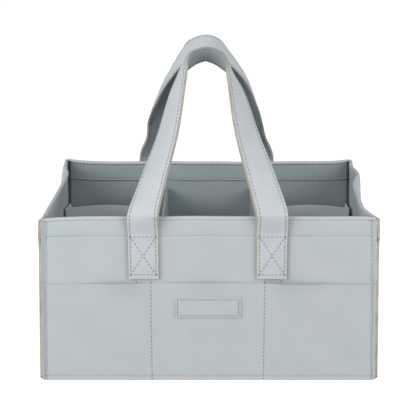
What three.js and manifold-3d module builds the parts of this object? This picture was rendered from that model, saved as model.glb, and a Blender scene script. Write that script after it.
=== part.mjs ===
// Nursery caddy of sewn sheet: an open box of stiffened walls, outer slip pockets, box pockets
// inside, two lift-out dividers and two strap handles that swing outward.
// Millimetres, +Z up, front toward -Y, base on z = 0.
import * as THREE from 'three';
import Module from 'manifold-3d';

const wasm = await Module();
wasm.setup();

// Driving sizes
const gap = 0.3;
const body = { rimHalfWidth: 184.8, baseHalfWidth: 189.8, halfDepth: 125, height: 197, sideBow: 6 };
const sheet = { skin: 0.9, board: 1.6, lining: 0.7 };
const hem = { depth: 27, closeDrop: 0.5, closeRun: 5 };
const seam = { radius: 1.5, turn: Math.PI / 4, flange: 8, bottomRound: 6, pressRun: 12, boardInset: 14 };
const base = { edgeHeight: 5, board: 2, cornerRadius: 8 };
const outerPocket = { height: 119.5, thickness: 0.9 };
const label = { width: 74, height: 24.4, thickness: 1.2, centreHeight: 90 };
const innerPocket = {
  innerX: 84.5,
  sideClearance: 1.6,
  depth: 24,
  cornerHeight: 140,
  archRise: 6,
  thickness: 0.9,
  flange: 6,
  bendRadius: 2,
};
const divider = { centreX: 55.5, dropFromRim: 34, ply: 0.8, board: 1.6, flange: 15, bendRadius: 1.2 };
const patch = { width: 12, height: 30, thickness: 0.9, dropFromTop: 6, clearOfBend: 1 };
const strap = { width: 35, ply: 1.3, centreX: 71, tabLength: 50, foldDrop: 22, bendRise: 3 };

// How each handle stands: rise of the crown over the rim and its distance from the middle, lean of
// the crown, how late and how quickly the strap twists, and the legs as shares of spread and of rise.
const frontStand = {
  crownRise: 163,
  crownInset: 18,
  leanDegrees: 41,
  twistDelay: 1,
  twistPower: 1.2,
  legs: [[1, 0], [0.89, 0.17], [0.64, 0.5], [0.46, 0.82], [0.325, 0.955], [0, 1]],
};
const backStand = {
  crownRise: 168,
  crownInset: 20,
  leanDegrees: 37,
  twistDelay: 1.6,
  twistPower: 2.6,
  legs: [[1, 0], [0.91, 0.17], [0.805, 0.5], [0.62, 0.78], [0.32, 0.94], [0, 1]],
};

// Depths of the wall's layers, measured inward from the outer face
const boardStart = sheet.skin + gap;
const liningStart = boardStart + sheet.board + gap;
const liningEnd = liningStart + sheet.lining;
const facingStart = liningEnd + gap;
const facingEnd = facingStart + sheet.skin;
const boardLoss = sheet.board + gap;
const seamDepth = facingEnd - boardLoss + gap / 2;
const cornerInset = seamDepth + Math.tan(seam.turn / 2) * (seam.radius + seamDepth);
const hemShift = sheet.skin + gap;
const hemFoot = body.height - hem.depth - hem.closeDrop;
const rimRadius = facingEnd / 2;
const layerFoot = base.edgeHeight + gap;
const layerTop = body.height - rimRadius - gap;
const baseTop = sheet.skin + gap + base.board + gap + sheet.lining;
const wallInnerY = body.halfDepth - liningEnd;

// Heights that hang on the rim
const dividerTop = body.height - divider.dropFromRim;
const foldHeight = body.height - strap.foldDrop;
const tabFoot = foldHeight - strap.tabLength;
const bendHeight = body.height + strap.bendRise;

// How finely the curves are stepped
const cornerTurns = [1, 2 / 3, 1 / 3];
const halfTurns = [0.25, 0.5, 0.75];
const bendTurns = [0, 0.5, 1];
const bowSteps = 8;
const archSteps = 8;
const stepsPerLeg = 4;

const colours = { leather: 0xc4c9cd, lining: 0xaeb4b8, board: 0xd8d2c2, strip: 0x9aa0a4 };
const leatherRoughness = 0.55;
const boardRoughness = 0.9;
const patchRoughness = 0.95;

const group = new THREE.Group();
group.name = 'diaper_caddy';

function addMesh(name, geometry, colour, roughness = leatherRoughness) {
  const material = new THREE.MeshStandardMaterial({ color: colour, roughness, metalness: 0 });
  const mesh = new THREE.Mesh(geometry, material);
  mesh.name = name;
  group.add(mesh);
  return mesh;
}

// Closed skin over rings of equal length. Point j of a ring faces point (last - j), which is how
// the two ends are closed with plain strips. Both faces of a sheet are split along the same
// diagonals, so neighbouring layers stay parallel.
function loft(rings) {
  const count = rings[0].length;
  const positions = [];
  for (const ring of rings) {
    for (const point of ring) positions.push(point.x, point.y, point.z);
  }
  const faces = [];
  for (let i = 0; i < rings.length - 1; i += 1) {
    for (let j = 0; j < count; j += 1) {
      const next = (j + 1) % count;
      const a = i * count + j;
      const b = i * count + next;
      const c = (i + 1) * count + next;
      const d = (i + 1) * count + j;
      const secondFace = j >= count / 2;
      if (secondFace) faces.push([a, b, d], [b, c, d]);
      else faces.push([a, b, c], [a, c, d]);
    }
  }
  const lastRing = (rings.length - 1) * count;
  for (let j = 0; j < count / 2 - 1; j += 1) {
    const across = count - 1 - j;
    faces.push([j, across, across - 1], [j, across - 1, j + 1]);
    faces.push([lastRing + j, lastRing + across - 1, lastRing + across]);
    faces.push([lastRing + j, lastRing + j + 1, lastRing + across - 1]);
  }
  return outwardGeometry(positions, faces);
}

// Geometry whose triangles all face outward, told by the sign of the enclosed volume
function outwardGeometry(positions, faces) {
  const corner = (k) => new THREE.Vector3(positions[3 * k], positions[3 * k + 1], positions[3 * k + 2]);
  let volume = 0;
  for (const [a, b, c] of faces) volume += corner(a).dot(corner(b).cross(corner(c)));
  const index = [];
  for (const [a, b, c] of faces) {
    if (volume > 0) index.push(a, b, c);
    else index.push(a, c, b);
  }
  const geometry = new THREE.BufferGeometry();
  geometry.setAttribute('position', new THREE.Float32BufferAttribute(positions, 3));
  geometry.setIndex(index);
  geometry.computeVertexNormals();
  return geometry;
}

// Box from its lower and upper corner
function boxBetween(low, high) {
  const size = high.clone().sub(low);
  const box = new THREE.BoxGeometry(size.x, size.y, size.z);
  const middle = low.clone().add(high).multiplyScalar(0.5);
  return box.translate(middle.x, middle.y, middle.z);
}

function toManifold(geometry) {
  const corners = geometry.getAttribute('position');
  const mesh = new wasm.Mesh({
    numProp: 3,
    vertProperties: new Float32Array(corners.array),
    triVerts: Uint32Array.from({ length: corners.count }, (_, corner) => corner),
  });
  mesh.merge();
  return new wasm.Manifold(mesh);
}

function fromManifold(solid) {
  const mesh = solid.getMesh();
  const geometry = new THREE.BufferGeometry();
  geometry.setAttribute('position', new THREE.BufferAttribute(mesh.vertProperties, 3));
  geometry.setIndex(new THREE.BufferAttribute(mesh.triVerts, 1));
  geometry.computeVertexNormals();
  return geometry;
}

// Outer half width of the box at a height: the sides lean in a little toward the rim
function halfWidthAt(z) {
  return THREE.MathUtils.lerp(body.baseHalfWidth, body.rimHalfWidth, z / body.height);
}

// Inward bow of a side wall: nothing at the corners and at the foot, most at mid rim
function sideBowAt(share, z) {
  const across = Math.cos((Math.PI / 2) * share) ** 2;
  const up = Math.max(z / body.height, 0) ** 1.5;
  return body.sideBow * across * up;
}

// Layer depth inside a corner seam, where the board is left out
function pressedDepth(depth) {
  if (depth <= sheet.skin) return depth;
  if (depth >= liningStart) return depth - boardLoss;
  const share = (depth - sheet.skin) / (liningStart - sheet.skin);
  return THREE.MathUtils.lerp(sheet.skin, liningStart - boardLoss, share);
}

// Below the folded hem a corner seam closes by the thickness of the facing
function hemClose(z) {
  return hemShift * THREE.MathUtils.clamp((hemFoot - z) / hem.closeRun, 0, 1);
}

// Width of the corner flange, trimmed round at its lower end
function flangeAt(z) {
  const round = seam.bottomRound;
  if (z >= round) return seam.flange;
  return seam.flange - round + Math.sqrt(round ** 2 - (round - z) ** 2);
}

// The four walls share one description: where they face and how far their straight run reaches
function makeWall(facing) {
  const lengthwise = facing === 'front' || facing === 'back';
  const sign = facing === 'back' || facing === 'right' ? 1 : -1;
  return {
    bowed: !lengthwise,
    reach: (z) => (lengthwise ? halfWidthAt(z) : body.halfDepth) - cornerInset,
    face: (share, z) => (lengthwise ? body.halfDepth : halfWidthAt(z) - sideBowAt(share, z)),
    place: (along, out, z) => (lengthwise
      ? new THREE.Vector3(along, sign * out, z)
      : new THREE.Vector3(sign * out, along, z)),
  };
}

// Stations along a wall, from one corner flange across the straight run to the other
function wallStations(bowed) {
  const corner = (side) => [
    { side, turn: seam.turn, flange: 1, press: 1 },
    ...cornerTurns.map((share) => ({ side, turn: seam.turn * share, flange: 0, press: 1 })),
    { share: side, inset: 0, press: 1 },
  ];
  return [...corner(-1), ...runStations(bowed, seam.pressRun), ...corner(1).reverse()];
}

// Stations of the straight run only, with both ends kept an inset away from the corners
function runStations(bowed, endInset) {
  const steps = bowed ? bowSteps : 1;
  const stations = [{ share: -1, inset: endInset, press: 0 }];
  for (let i = 1; i < steps; i += 1) {
    stations.push({ share: -1 + (2 * i) / steps, inset: seam.pressRun, press: 0 });
  }
  stations.push({ share: 1, inset: endInset, press: 0 });
  return stations;
}

// Point of a wall layer at a station, a depth below the outer face and a height
function wallPoint(wall, station, depth, z) {
  const reach = wall.reach(z);
  const pressed = THREE.MathUtils.lerp(depth, pressedDepth(depth), station.press);
  if (station.turn === undefined) {
    const along = station.share * (reach - station.inset);
    return wall.place(along, wall.face(along / reach, z) - pressed, z);
  }
  const closed = pressed + (hemClose(z) * station.turn) / seam.turn;
  const radius = seam.radius + closed;
  const flange = station.flange * flangeAt(z);
  const along = reach + radius * Math.sin(station.turn) + flange * Math.cos(station.turn);
  const lift = radius * (1 - Math.cos(station.turn)) + flange * Math.sin(station.turn);
  return wall.place(station.side * along, wall.face(1, z) - closed + lift, z);
}

// A wall layer: two faces of the same section swept over the stations
function wallLayer(wall, stations, outerFace, innerFace) {
  const section = [...outerFace, ...innerFace.slice().reverse()];
  const rings = stations.map((station) => section.map(([depth, z]) => wallPoint(wall, station, depth, z)));
  return loft(rings);
}

// Heights at which a wall layer has rows of points
function wallLevels(bowed, foot, top) {
  const rounding = [0, 0.25, 0.6, 1].map((share) => share * seam.bottomRound);
  const bowLevels = bowed ? [0.3, 0.55, 0.75].map((share) => share * body.height) : [];
  const levels = [foot, ...rounding, ...bowLevels, hemFoot - hem.closeRun, hemFoot, top];
  return levels.filter((z, i) => z >= foot && z <= top && levels.indexOf(z) === i);
}

// Skin: up the outside, over the rim and down the inside as the hem's facing
function skinFace(levels, depth, facingDepth) {
  const centreZ = body.height - rimRadius;
  const radius = rimRadius - depth;
  const points = levels.map((z) => [depth, z]);
  for (const turn of halfTurns) {
    const angle = Math.PI * (1 - turn);
    points.push([rimRadius + radius * Math.cos(angle), centreZ + radius * Math.sin(angle)]);
  }
  points.push([facingDepth, centreZ], [facingDepth, body.height - hem.depth]);
  return points;
}

function flatFace(levels, depth) {
  return levels.map((z) => [depth, z]);
}

function buildWall(facing) {
  const wall = makeWall(facing);
  const stations = wallStations(wall.bowed);
  const skinLevels = wallLevels(wall.bowed, 0, body.height - rimRadius);
  const layerLevels = wallLevels(wall.bowed, layerFoot, layerTop);
  const boardStations = runStations(wall.bowed, seam.boardInset);
  const boardEnd = boardStart + sheet.board;
  const skin = wallLayer(wall, stations,
    skinFace(skinLevels, 0, facingEnd), skinFace(skinLevels, sheet.skin, facingStart));
  const board = wallLayer(wall, boardStations,
    flatFace(layerLevels, boardStart), flatFace(layerLevels, boardEnd));
  const lining = wallLayer(wall, stations,
    flatFace(layerLevels, liningStart), flatFace(layerLevels, liningEnd));
  addMesh(`${facing}_skin`, skin, colours.leather);
  addMesh(`${facing}_board`, board, colours.board, boardRoughness);
  addMesh(`${facing}_lining`, lining, colours.lining);
}

// Outer slip pocket: one sheet over the foot of the wall, caught in both corner seams
function buildOuterPocket(facing) {
  const wall = makeWall(facing);
  const levels = wallLevels(false, 0, outerPocket.height);
  const sheetPocket = wallLayer(wall, wallStations(false),
    flatFace(levels, -gap - outerPocket.thickness), flatFace(levels, -gap));
  addMesh(`${facing}_outer_pocket`, sheetPocket, colours.leather);
}

function buildLabel() {
  const back = -(body.halfDepth + gap + outerPocket.thickness + gap);
  const foot = label.centreHeight - label.height / 2;
  const low = new THREE.Vector3(-label.width / 2, back - label.thickness, foot);
  const high = new THREE.Vector3(label.width / 2, back, foot + label.height);
  addMesh('label_patch', boxBetween(low, high), colours.leather);
}

function roundedPlate(halfX, halfY, radius, low, high) {
  const shape = new THREE.Shape();
  shape.moveTo(halfX, -halfY + radius);
  shape.lineTo(halfX, halfY - radius);
  shape.absarc(halfX - radius, halfY - radius, radius, 0, Math.PI / 2);
  shape.absarc(-halfX + radius, halfY - radius, radius, Math.PI / 2, Math.PI);
  shape.absarc(-halfX + radius, -halfY + radius, radius, Math.PI, Math.PI * 1.5);
  shape.absarc(halfX - radius, -halfY + radius, radius, Math.PI * 1.5, Math.PI * 2);
  const options = { depth: high - low, bevelEnabled: false, curveSegments: 6 };
  return new THREE.ExtrudeGeometry(shape, options).translate(0, 0, low);
}

// Base: a shallow tray of skin with its edge turned up inside the walls, a board and a lining
function buildBase() {
  const halfX = halfWidthAt(base.edgeHeight) - sheet.skin - gap;
  const halfY = body.halfDepth - sheet.skin - gap;
  const layer = (inset, low, high) => roundedPlate(
    halfX - inset, halfY - inset, base.cornerRadius - inset, low, high);
  const outer = toManifold(layer(0, 0, base.edgeHeight));
  const cutTop = 2 * base.edgeHeight;
  const hollow = toManifold(layer(sheet.skin, sheet.skin, cutTop));
  addMesh('base_skin', fromManifold(outer.subtract(hollow)), colours.leather);
  const fit = sheet.skin + gap;
  const boardHigh = fit + base.board;
  addMesh('base_board', layer(fit, fit, boardHigh), colours.board, boardRoughness);
  addMesh('base_lining', layer(fit, boardHigh + gap, baseTop), colours.lining);
}

// Plan path of square corners rounded with short arcs, as points with their left-hand normals
function roundedPath(corners, radius) {
  const stations = [];
  const push = (point, heading) => {
    stations.push({ point, normal: new THREE.Vector2(-heading.y, heading.x) });
  };
  for (let i = 0; i < corners.length; i += 1) {
    const here = corners[i];
    const before = i > 0 ? here.clone().sub(corners[i - 1]).normalize() : null;
    const after = i < corners.length - 1 ? corners[i + 1].clone().sub(here).normalize() : null;
    if (!before || !after) {
      push(here, before ?? after);
    } else {
      const side = Math.sign(before.cross(after));
      const centre = here.clone().sub(before.clone().multiplyScalar(radius))
        .add(new THREE.Vector2(-before.y, before.x).multiplyScalar(side * radius));
      for (const turn of bendTurns) {
        const heading = before.clone().rotateAround(new THREE.Vector2(), side * turn * (Math.PI / 2));
        const normal = new THREE.Vector2(-heading.y, heading.x);
        push(centre.clone().sub(normal.multiplyScalar(side * radius)), heading);
      }
    }
  }
  return stations;
}

// Box pocket inside a wall: sewn flange, gusset, arched face, gusset, sewn flange, in one sheet
function buildInnerPocket(name, sideX, sideY) {
  const half = innerPocket.thickness / 2;
  const wallY = wallInnerY - gap - half;
  const faceY = wallY - innerPocket.depth;
  const outerX = halfWidthAt(innerPocket.cornerHeight) - facingEnd - innerPocket.sideClearance;
  const inner = innerPocket.innerX;
  const corners = [[inner - innerPocket.flange, wallY], [inner, wallY], [inner, faceY], [outerX, faceY],
    [outerX, wallY], [outerX - innerPocket.flange, wallY]].map(([x, y]) => new THREE.Vector2(x, y));
  const stations = roundedPath(corners, innerPocket.bendRadius);
  const bendsBeforeFace = 2;
  const faceStart = bendsBeforeFace * bendTurns.length;
  const first = stations[faceStart];
  const last = stations[faceStart + 1];
  const arch = [];
  for (let i = 1; i < archSteps; i += 1) {
    arch.push({ point: first.point.clone().lerp(last.point, i / archSteps), normal: first.normal });
  }
  stations.splice(faceStart + 1, 0, ...arch);
  const topAt = (x, y) => {
    const share = (2 * x - inner - outerX) / (outerX - inner);
    const onFace = y < faceY + half;
    return innerPocket.cornerHeight + (onFace ? innerPocket.archRise * Math.max(1 - share ** 2, 0) : 0);
  };
  const foot = baseTop + gap;
  const rings = stations.map(({ point, normal }) => {
    const top = topAt(point.x, point.y);
    return [[1, foot], [1, top], [-1, top], [-1, foot]].map(([side, z]) => new THREE.Vector3(
      sideX * (point.x + normal.x * side * half), sideY * (point.y + normal.y * side * half), z));
  });
  addMesh(name, loft(rings), colours.leather);
}

// Fastening patches: a loop patch on the wall and a hook patch on the divider's flange
function patchSpan() {
  const inner = divider.centreX + dividerHalf() + divider.bendRadius + patch.clearOfBend;
  return { inner, outer: inner + patch.width };
}

function dividerHalf() {
  return divider.board / 2 + gap + divider.ply;
}

function buildPatch(name, sideX, sideY, outY) {
  const span = patchSpan();
  const high = dividerTop - patch.dropFromTop;
  const xs = [sideX * span.inner, sideX * span.outer].sort((a, b) => a - b);
  const ys = [sideY * (outY - patch.thickness), sideY * outY].sort((a, b) => a - b);
  const low = new THREE.Vector3(xs[0], ys[0], high - patch.height);
  const geometry = boxBetween(low, new THREE.Vector3(xs[1], ys[1], high));
  addMesh(name, geometry, colours.strip, patchRoughness);
}

// Divider: a cover folded over the top of a board, its ends bent outward into flanges
function buildDivider(side) {
  const sideX = side === 'right' ? 1 : -1;
  const half = dividerHalf();
  const hookY = wallInnerY - 2 * gap - patch.thickness;
  const flangeY = hookY - patch.thickness - gap;
  const endY = flangeY - half;
  const tip = divider.centreX + half + divider.flange;
  const corners = [[tip, -endY], [divider.centreX, -endY], [divider.centreX, endY], [tip, endY]]
    .map(([x, y]) => new THREE.Vector2(x, y));
  const stations = roundedPath(corners, half + divider.bendRadius);
  const foot = baseTop + gap;
  const coverFace = (reach) => {
    const centreZ = dividerTop - half;
    const points = [[reach, foot], [reach, centreZ]];
    for (const turn of halfTurns) {
      points.push([reach * Math.cos(Math.PI * turn), centreZ + reach * Math.sin(Math.PI * turn)]);
    }
    points.push([-reach, centreZ], [-reach, foot]);
    return points;
  };
  const section = [...coverFace(half), ...coverFace(half - divider.ply).reverse()];
  const rings = stations.map(({ point, normal }) => section.map(([across, z]) => new THREE.Vector3(
    sideX * (point.x + normal.x * across), point.y + normal.y * across, z)));
  addMesh(`${side}_divider_cover`, loft(rings), colours.leather);

  const boardEnd = endY - half - divider.bendRadius;
  const boardX = [-1, 1].map((k) => sideX * divider.centreX + (k * divider.board) / 2);
  const low = new THREE.Vector3(boardX[0], -boardEnd, foot);
  const high = new THREE.Vector3(boardX[1], boardEnd, dividerTop - half);
  addMesh(`${side}_divider_board`, boxBetween(low, high), colours.board, boardRoughness);

  for (const [end, sideY] of [['front', -1], ['back', 1]]) {
    buildPatch(`${side}_divider_${end}_hook_patch`, sideX, sideY, hookY);
    buildPatch(`${end}_wall_${side}_loop_patch`, sideX, sideY, wallInnerY - gap);
  }
}

// Strap plies lie on either side of the strap's middle surface
const plies = {
  outer: { low: gap / 2, high: gap / 2 + strap.ply },
  inner: { low: -gap / 2 - strap.ply, high: -gap / 2 },
};
const strapMiddleY = body.halfDepth + gap + strap.ply + gap / 2;

function buildTabs(handle, sideY) {
  for (const [side, sideX] of [['left', -1], ['right', 1]]) {
    for (const [ply, { low, high }] of Object.entries(plies)) {
      const ys = [sideY * (strapMiddleY + low), sideY * (strapMiddleY + high)].sort((a, b) => a - b);
      const middle = sideX * strap.centreX;
      const tab = boxBetween(
        new THREE.Vector3(middle - strap.width / 2, ys[0], tabFoot),
        new THREE.Vector3(middle + strap.width / 2, ys[1], foldHeight - gap / 2),
      );
      addMesh(`${handle}_handle_${side}_tab_${ply}_ply`, tab, colours.leather);
    }
  }
}

// Middle line of a whole handle above its bend, written for the back: up the right leg, over the
// crown and down the left leg, with one straight point below each bend
function handleCurve(stand) {
  const rise = stand.crownRise - strap.bendRise;
  const travel = stand.crownInset - strapMiddleY;
  const right = stand.legs.map(([spread, share]) => new THREE.Vector3(
    strap.centreX * spread, strapMiddleY + travel * share, bendHeight + rise * share));
  right.unshift(new THREE.Vector3(strap.centreX, strapMiddleY, (foldHeight + bendHeight) / 2));
  const left = right.slice(0, -1).reverse().map((point) => point.clone().setX(-point.x));
  return new THREE.CatmullRomCurve3([...right, ...left]);
}

// Stations of the right half, from the fold line to the crown: the strap's middle, the direction
// across it and its outward normal. The strap turns from facing out to lying over the crown.
function handleStations(stand) {
  const curve = handleCurve(stand);
  const flatAcross = new THREE.Vector3(-1, 0, 0);
  const flatOut = new THREE.Vector3(0, 1, 0);
  const lean = THREE.MathUtils.degToRad(stand.leanDegrees);
  const crownAcross = new THREE.Vector3(0, Math.cos(lean), Math.sin(lean));
  const fold = new THREE.Vector3(strap.centreX, strapMiddleY, foldHeight + gap / 2);
  const stations = [{ point: fold, across: flatAcross, out: flatOut }];
  const steps = stepsPerLeg * stand.legs.length;
  const bendShare = stepsPerLeg / steps;
  for (let i = 0; i <= steps; i += 1) {
    const along = i / steps;
    const share = Math.max((along - bendShare) / (1 - bendShare), 0);
    const twist = (Math.PI / 2) * (1 - (1 - share ** stand.twistDelay) ** stand.twistPower);
    const tangent = along < bendShare ? new THREE.Vector3(0, 0, 1) : curve.getTangent(along / 2);
    const across = flatAcross.clone().multiplyScalar(Math.cos(twist));
    across.addScaledVector(crownAcross, Math.sin(twist));
    across.addScaledVector(tangent, -across.dot(tangent)).normalize();
    const out = across.clone().cross(tangent).normalize();
    stations.push({ point: curve.getPoint(along / 2), across, out });
  }
  return stations;
}

function buildHandle(handle, sideY, stand) {
  const half = handleStations(stand);
  const turned = (station, sideX) => ({
    point: station.point.clone().multiply(new THREE.Vector3(sideX, sideY, 1)),
    across: station.across.clone().multiply(new THREE.Vector3(sideX, sideY, 1)),
    out: station.out.clone().multiply(new THREE.Vector3(sideX, sideY, 1)),
  });
  const whole = [
    ...half.map((station) => turned(station, 1)),
    ...half.slice(0, -1).reverse().map((station) => turned(station, -1)),
  ];
  const reach = strap.width / 2;
  for (const [ply, { low, high }] of Object.entries(plies)) {
    const section = [[-reach, high], [0, high], [reach, high], [reach, low], [0, low], [-reach, low]];
    const rings = whole.map(({ point, across, out }) => section.map(
      ([a, n]) => point.clone().addScaledVector(across, a).addScaledVector(out, n)));
    addMesh(`${handle}_handle_${ply}_ply`, loft(rings), colours.leather);
  }
  buildTabs(handle, sideY);
}

buildBase();
for (const facing of ['front', 'back', 'left', 'right']) buildWall(facing);
for (const facing of ['front', 'back']) buildOuterPocket(facing);
buildLabel();
for (const [end, sideY] of [['front', -1], ['back', 1]]) {
  for (const [side, sideX] of [['left', -1], ['right', 1]]) {
    buildInnerPocket(`${end}_${side}_inner_pocket`, sideX, sideY);
  }
}
for (const side of ['left', 'right']) buildDivider(side);
buildHandle('front', -1, frontStand);
buildHandle('back', 1, backStand);

export default group;
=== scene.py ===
"""Looks of the nursery caddy: sewn faux leather walls, pockets, dividers and twisted strap handles.

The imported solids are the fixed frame. Every sheet of leather is built again here on the same
layers, with a rolled rim, grooves under the seams, raw cream edges and modelled stitches.
Lengths are metres, +Z is up and the front wall faces -Y.
"""

import logging
import math
from dataclasses import Field, dataclass, field
from enum import Enum, IntEnum

import bpy
import numpy as np
from bpy.types import ID, Material, Node, NodeSocket, NodeTreeInterfaceSocket, Object
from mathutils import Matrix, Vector


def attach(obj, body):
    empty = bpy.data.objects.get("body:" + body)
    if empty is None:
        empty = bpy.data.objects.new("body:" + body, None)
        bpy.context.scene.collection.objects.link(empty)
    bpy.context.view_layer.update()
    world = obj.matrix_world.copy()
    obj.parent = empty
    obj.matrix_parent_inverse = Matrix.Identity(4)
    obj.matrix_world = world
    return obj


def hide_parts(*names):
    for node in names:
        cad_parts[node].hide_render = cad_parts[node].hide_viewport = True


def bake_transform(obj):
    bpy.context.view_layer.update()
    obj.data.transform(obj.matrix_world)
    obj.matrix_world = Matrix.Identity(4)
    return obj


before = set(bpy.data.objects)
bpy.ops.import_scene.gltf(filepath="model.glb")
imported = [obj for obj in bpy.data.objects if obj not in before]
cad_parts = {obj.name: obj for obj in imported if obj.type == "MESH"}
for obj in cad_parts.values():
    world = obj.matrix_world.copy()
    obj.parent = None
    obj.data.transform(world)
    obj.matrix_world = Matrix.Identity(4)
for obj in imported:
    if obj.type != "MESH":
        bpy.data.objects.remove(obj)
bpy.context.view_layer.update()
LOG = logging.getLogger("caddy")
MM = 0.001
SHARP_ANGLE = math.radians(38)
Colour = tuple[float, float, float, float]
# Vertex attribute that holds painted shade for the inner corners of the box.
PAINTED_SEAM_SHADE = "seam_shade"
RIPPLE_OCTAVES = (1.0, 1.7, 2.6)
RIPPLE_STRAIGHT = 0.6
RIPPLE_SCALE = 2.6
MARK_SPACING = 0.7 * MM
MARK_STEPS = 3
CLOSEST_LEVELS = 0.3 * MM
SMALLEST_BEND = 0.05 * MM
QUARTER_POINTS = 7
WHITE = (1.0, 1.0, 1.0, 1.0)
POCKET_SEAMS = (-65.4 * MM, 62.9 * MM)
TAB_FOOT = 125.0 * MM


class Facing(Enum):
    """Which way a wall of the box faces."""

    FRONT = "front"
    BACK = "back"
    LEFT = "left"
    RIGHT = "right"

    @property
    def lengthwise(self) -> bool:
        """True for the two long walls."""
        return self in (Facing.FRONT, Facing.BACK)

    @property
    def sign(self) -> int:
        """Direction of the wall's outward axis."""
        return 1 if self in (Facing.BACK, Facing.RIGHT) else -1


class Slot(Enum):
    """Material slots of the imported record."""

    OUTER = "outer_leather"
    LINING = "lining_leather"
    STRAP = "strap_leather"
    LABEL = "label_leather"
    BOARD = "stiffener_board"


class Place(IntEnum):
    """Which of a sheet's materials a face takes."""

    OUTER = 0
    INNER = 1
    EDGE = 2
    FACING = 3


def screen(red: int, green: int, blue: int) -> Colour:
    """Linear colour of an 8-bit screen colour.

    Args:
        red: Red from 0 to 255.
        green: Green from 0 to 255.
        blue: Blue from 0 to 255.

    Returns:
        Linear red, green and blue with alpha 1.
    """
    shares = [value / 255 for value in (red, green, blue)]
    linear = [s / 12.92 if s <= 0.04045 else ((s + 0.055) / 1.055) ** 2.4 for s in shares]
    return (*linear, 1.0)


def scaled(colour: tuple[float, ...], factor: float) -> Colour:
    """Colour made lighter or darker by a factor."""
    return (*(min(part * factor, 1.0) for part in colour[:3]), 1.0)


class NodeTree:
    """A node tree with short calls for adding and joining nodes."""

    def __init__(self, tree: bpy.types.NodeTree) -> None:
        """Takes the tree to work on."""
        self.tree = tree

    def add(self, kind: str, inputs: dict | None = None, **settings: object) -> Node:
        """Adds a node.

        Args:
            kind: Blender's name of the node type.
            inputs: Values or output sockets by input name or number.
            settings: Properties of the node itself.

        Returns:
            The new node.
        """
        node = self.tree.nodes.new(kind)
        for key, value in settings.items():
            setattr(node, key, value)
        self.feed(node, inputs or {})
        return node

    def feed(self, node: Node, inputs: dict) -> None:
        """Sets inputs to values, or links those that are given an output socket.

        Args:
            node: The node to feed.
            inputs: Values or output sockets by input name or number.
        """
        for key, value in inputs.items():
            if isinstance(value, NodeSocket):
                self.tree.links.new(value, node.inputs[key])
            else:
                node.inputs[key].default_value = value


class Shader(NodeTree):
    """A material's node tree around its Principled shader."""

    noise_span = (0.3, 0.7)

    def __init__(self, name: str) -> None:
        """Starts a material.

        Args:
            name: Name of the material.
        """
        self.material = bpy.data.materials.new(name)
        self.material.use_nodes = True
        super().__init__(self.material.node_tree)
        self.surface = self.tree.nodes["Principled BSDF"]

    def coat(self, inputs: dict) -> Material:
        """Feeds the shader itself and hands over the material."""
        self.feed(self.surface, inputs)
        return self.material

    def noise(self, place: NodeSocket, scale: float, detail: float = 2.0) -> NodeSocket:
        """Noise value at a place."""
        inputs = {"Vector": place, "Scale": scale, "Detail": detail}
        return self.add("ShaderNodeTexNoise", inputs).outputs["Fac"]

    def combine(self, operation: str, *values: NodeSocket) -> NodeSocket:
        """Result of a sum or product."""
        return self.add("ShaderNodeMath", dict(enumerate(values)), operation=operation).outputs[0]

    def blend(self, share: NodeSocket, low: tuple, high: tuple) -> NodeSocket:
        """Colour between two others, by a share from 0 to 1."""
        return self.add("ShaderNodeMix", {0: share, 6: low, 7: high}, data_type="RGBA").outputs[2]

    def spread(self, value: NodeSocket, low: float, high: float,
               span: tuple[float, float] = noise_span) -> NodeSocket:
        """Value mapped from a span to a range.

        Args:
            value: The value.
            low: What the start of the span becomes.
            high: What the end of the span becomes.
            span: Start and end of the span, a noise's usual middle range when left out.

        Returns:
            The mapped value's socket.
        """
        inputs = {"Value": value, "From Min": span[0], "From Max": span[1], "To Min": low, "To Max": high}
        return self.add("ShaderNodeMapRange", inputs).outputs["Result"]

    def bump(self, height: NodeSocket, depth: float,
             under: NodeSocket | None = None) -> NodeSocket:
        """Bumped normal.

        Args:
            height: Height from 0 to 1.
            depth: Height of the bumps in metres.
            under: Normal of a coarser bump below this one.

        Returns:
            The normal's socket.
        """
        inputs = {"Height": height, "Distance": depth, "Strength": 1.0}
        if under is not None:
            inputs["Normal"] = under
        return self.add("ShaderNodeBump", inputs).outputs["Normal"]


@dataclass(frozen=True)
class LeatherFinish:
    """Faux leather with a fine pebbled grain, soft dents, a faint mottle and painted shade in the inner
    corners.
    """

    name: str
    colour: Colour
    roughness: float = 0.52
    roughness_play: float = 0.06
    sheen: float = 0.38
    grain: float = 1.0 * MM
    grain_depth: float = 0.045 * MM
    pore_rate: float = 2.6
    mottle: float = 46 * MM
    mottle_tones: tuple[float, float] = (0.965, 1.03)
    dent_rate: float = 2.2
    dent_depth: float = 0.35 * MM
    # How dark the painted corner shade makes the leather's colour.
    painted_shade_tone: float = 0.3

    def material(self) -> Material:
        """Builds the material on the sheet's own UV map, which is in metres.

        Returns:
            The material.
        """
        shader = Shader(self.name)
        flat = shader.add("ShaderNodeTexCoord").outputs["UV"]
        pebbles = shader.add("ShaderNodeTexVoronoi", {"Vector": flat, "Scale": 1 / self.grain})
        pores = shader.noise(flat, self.pore_rate / self.grain)
        clouds = shader.noise(flat, 1 / self.mottle, detail=3.0)
        dents = shader.noise(flat, self.dent_rate / self.mottle, detail=1.0)
        low, high = (scaled(self.colour, tone) for tone in self.mottle_tones)
        colour = shader.blend(shader.spread(clouds, 0.0, 1.0), low, high)
        # Painted shade: the attribute darkens the colour in the inner corners of the box.
        pressed = shader.add("ShaderNodeAttribute", attribute_name=PAINTED_SEAM_SHADE).outputs["Fac"]
        play = self.roughness_play
        grain = shader.combine("ADD", pebbles.outputs["Distance"], pores)
        soft = shader.bump(dents, self.dent_depth)
        return shader.coat({
            "Base Color": shader.blend(pressed, colour, scaled(self.colour, self.painted_shade_tone)),
            "Roughness": shader.spread(pores, self.roughness - play, self.roughness + play),
            "Normal": shader.bump(grain, self.grain_depth, soft),
            "Specular IOR Level": self.sheen,
        })


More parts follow.
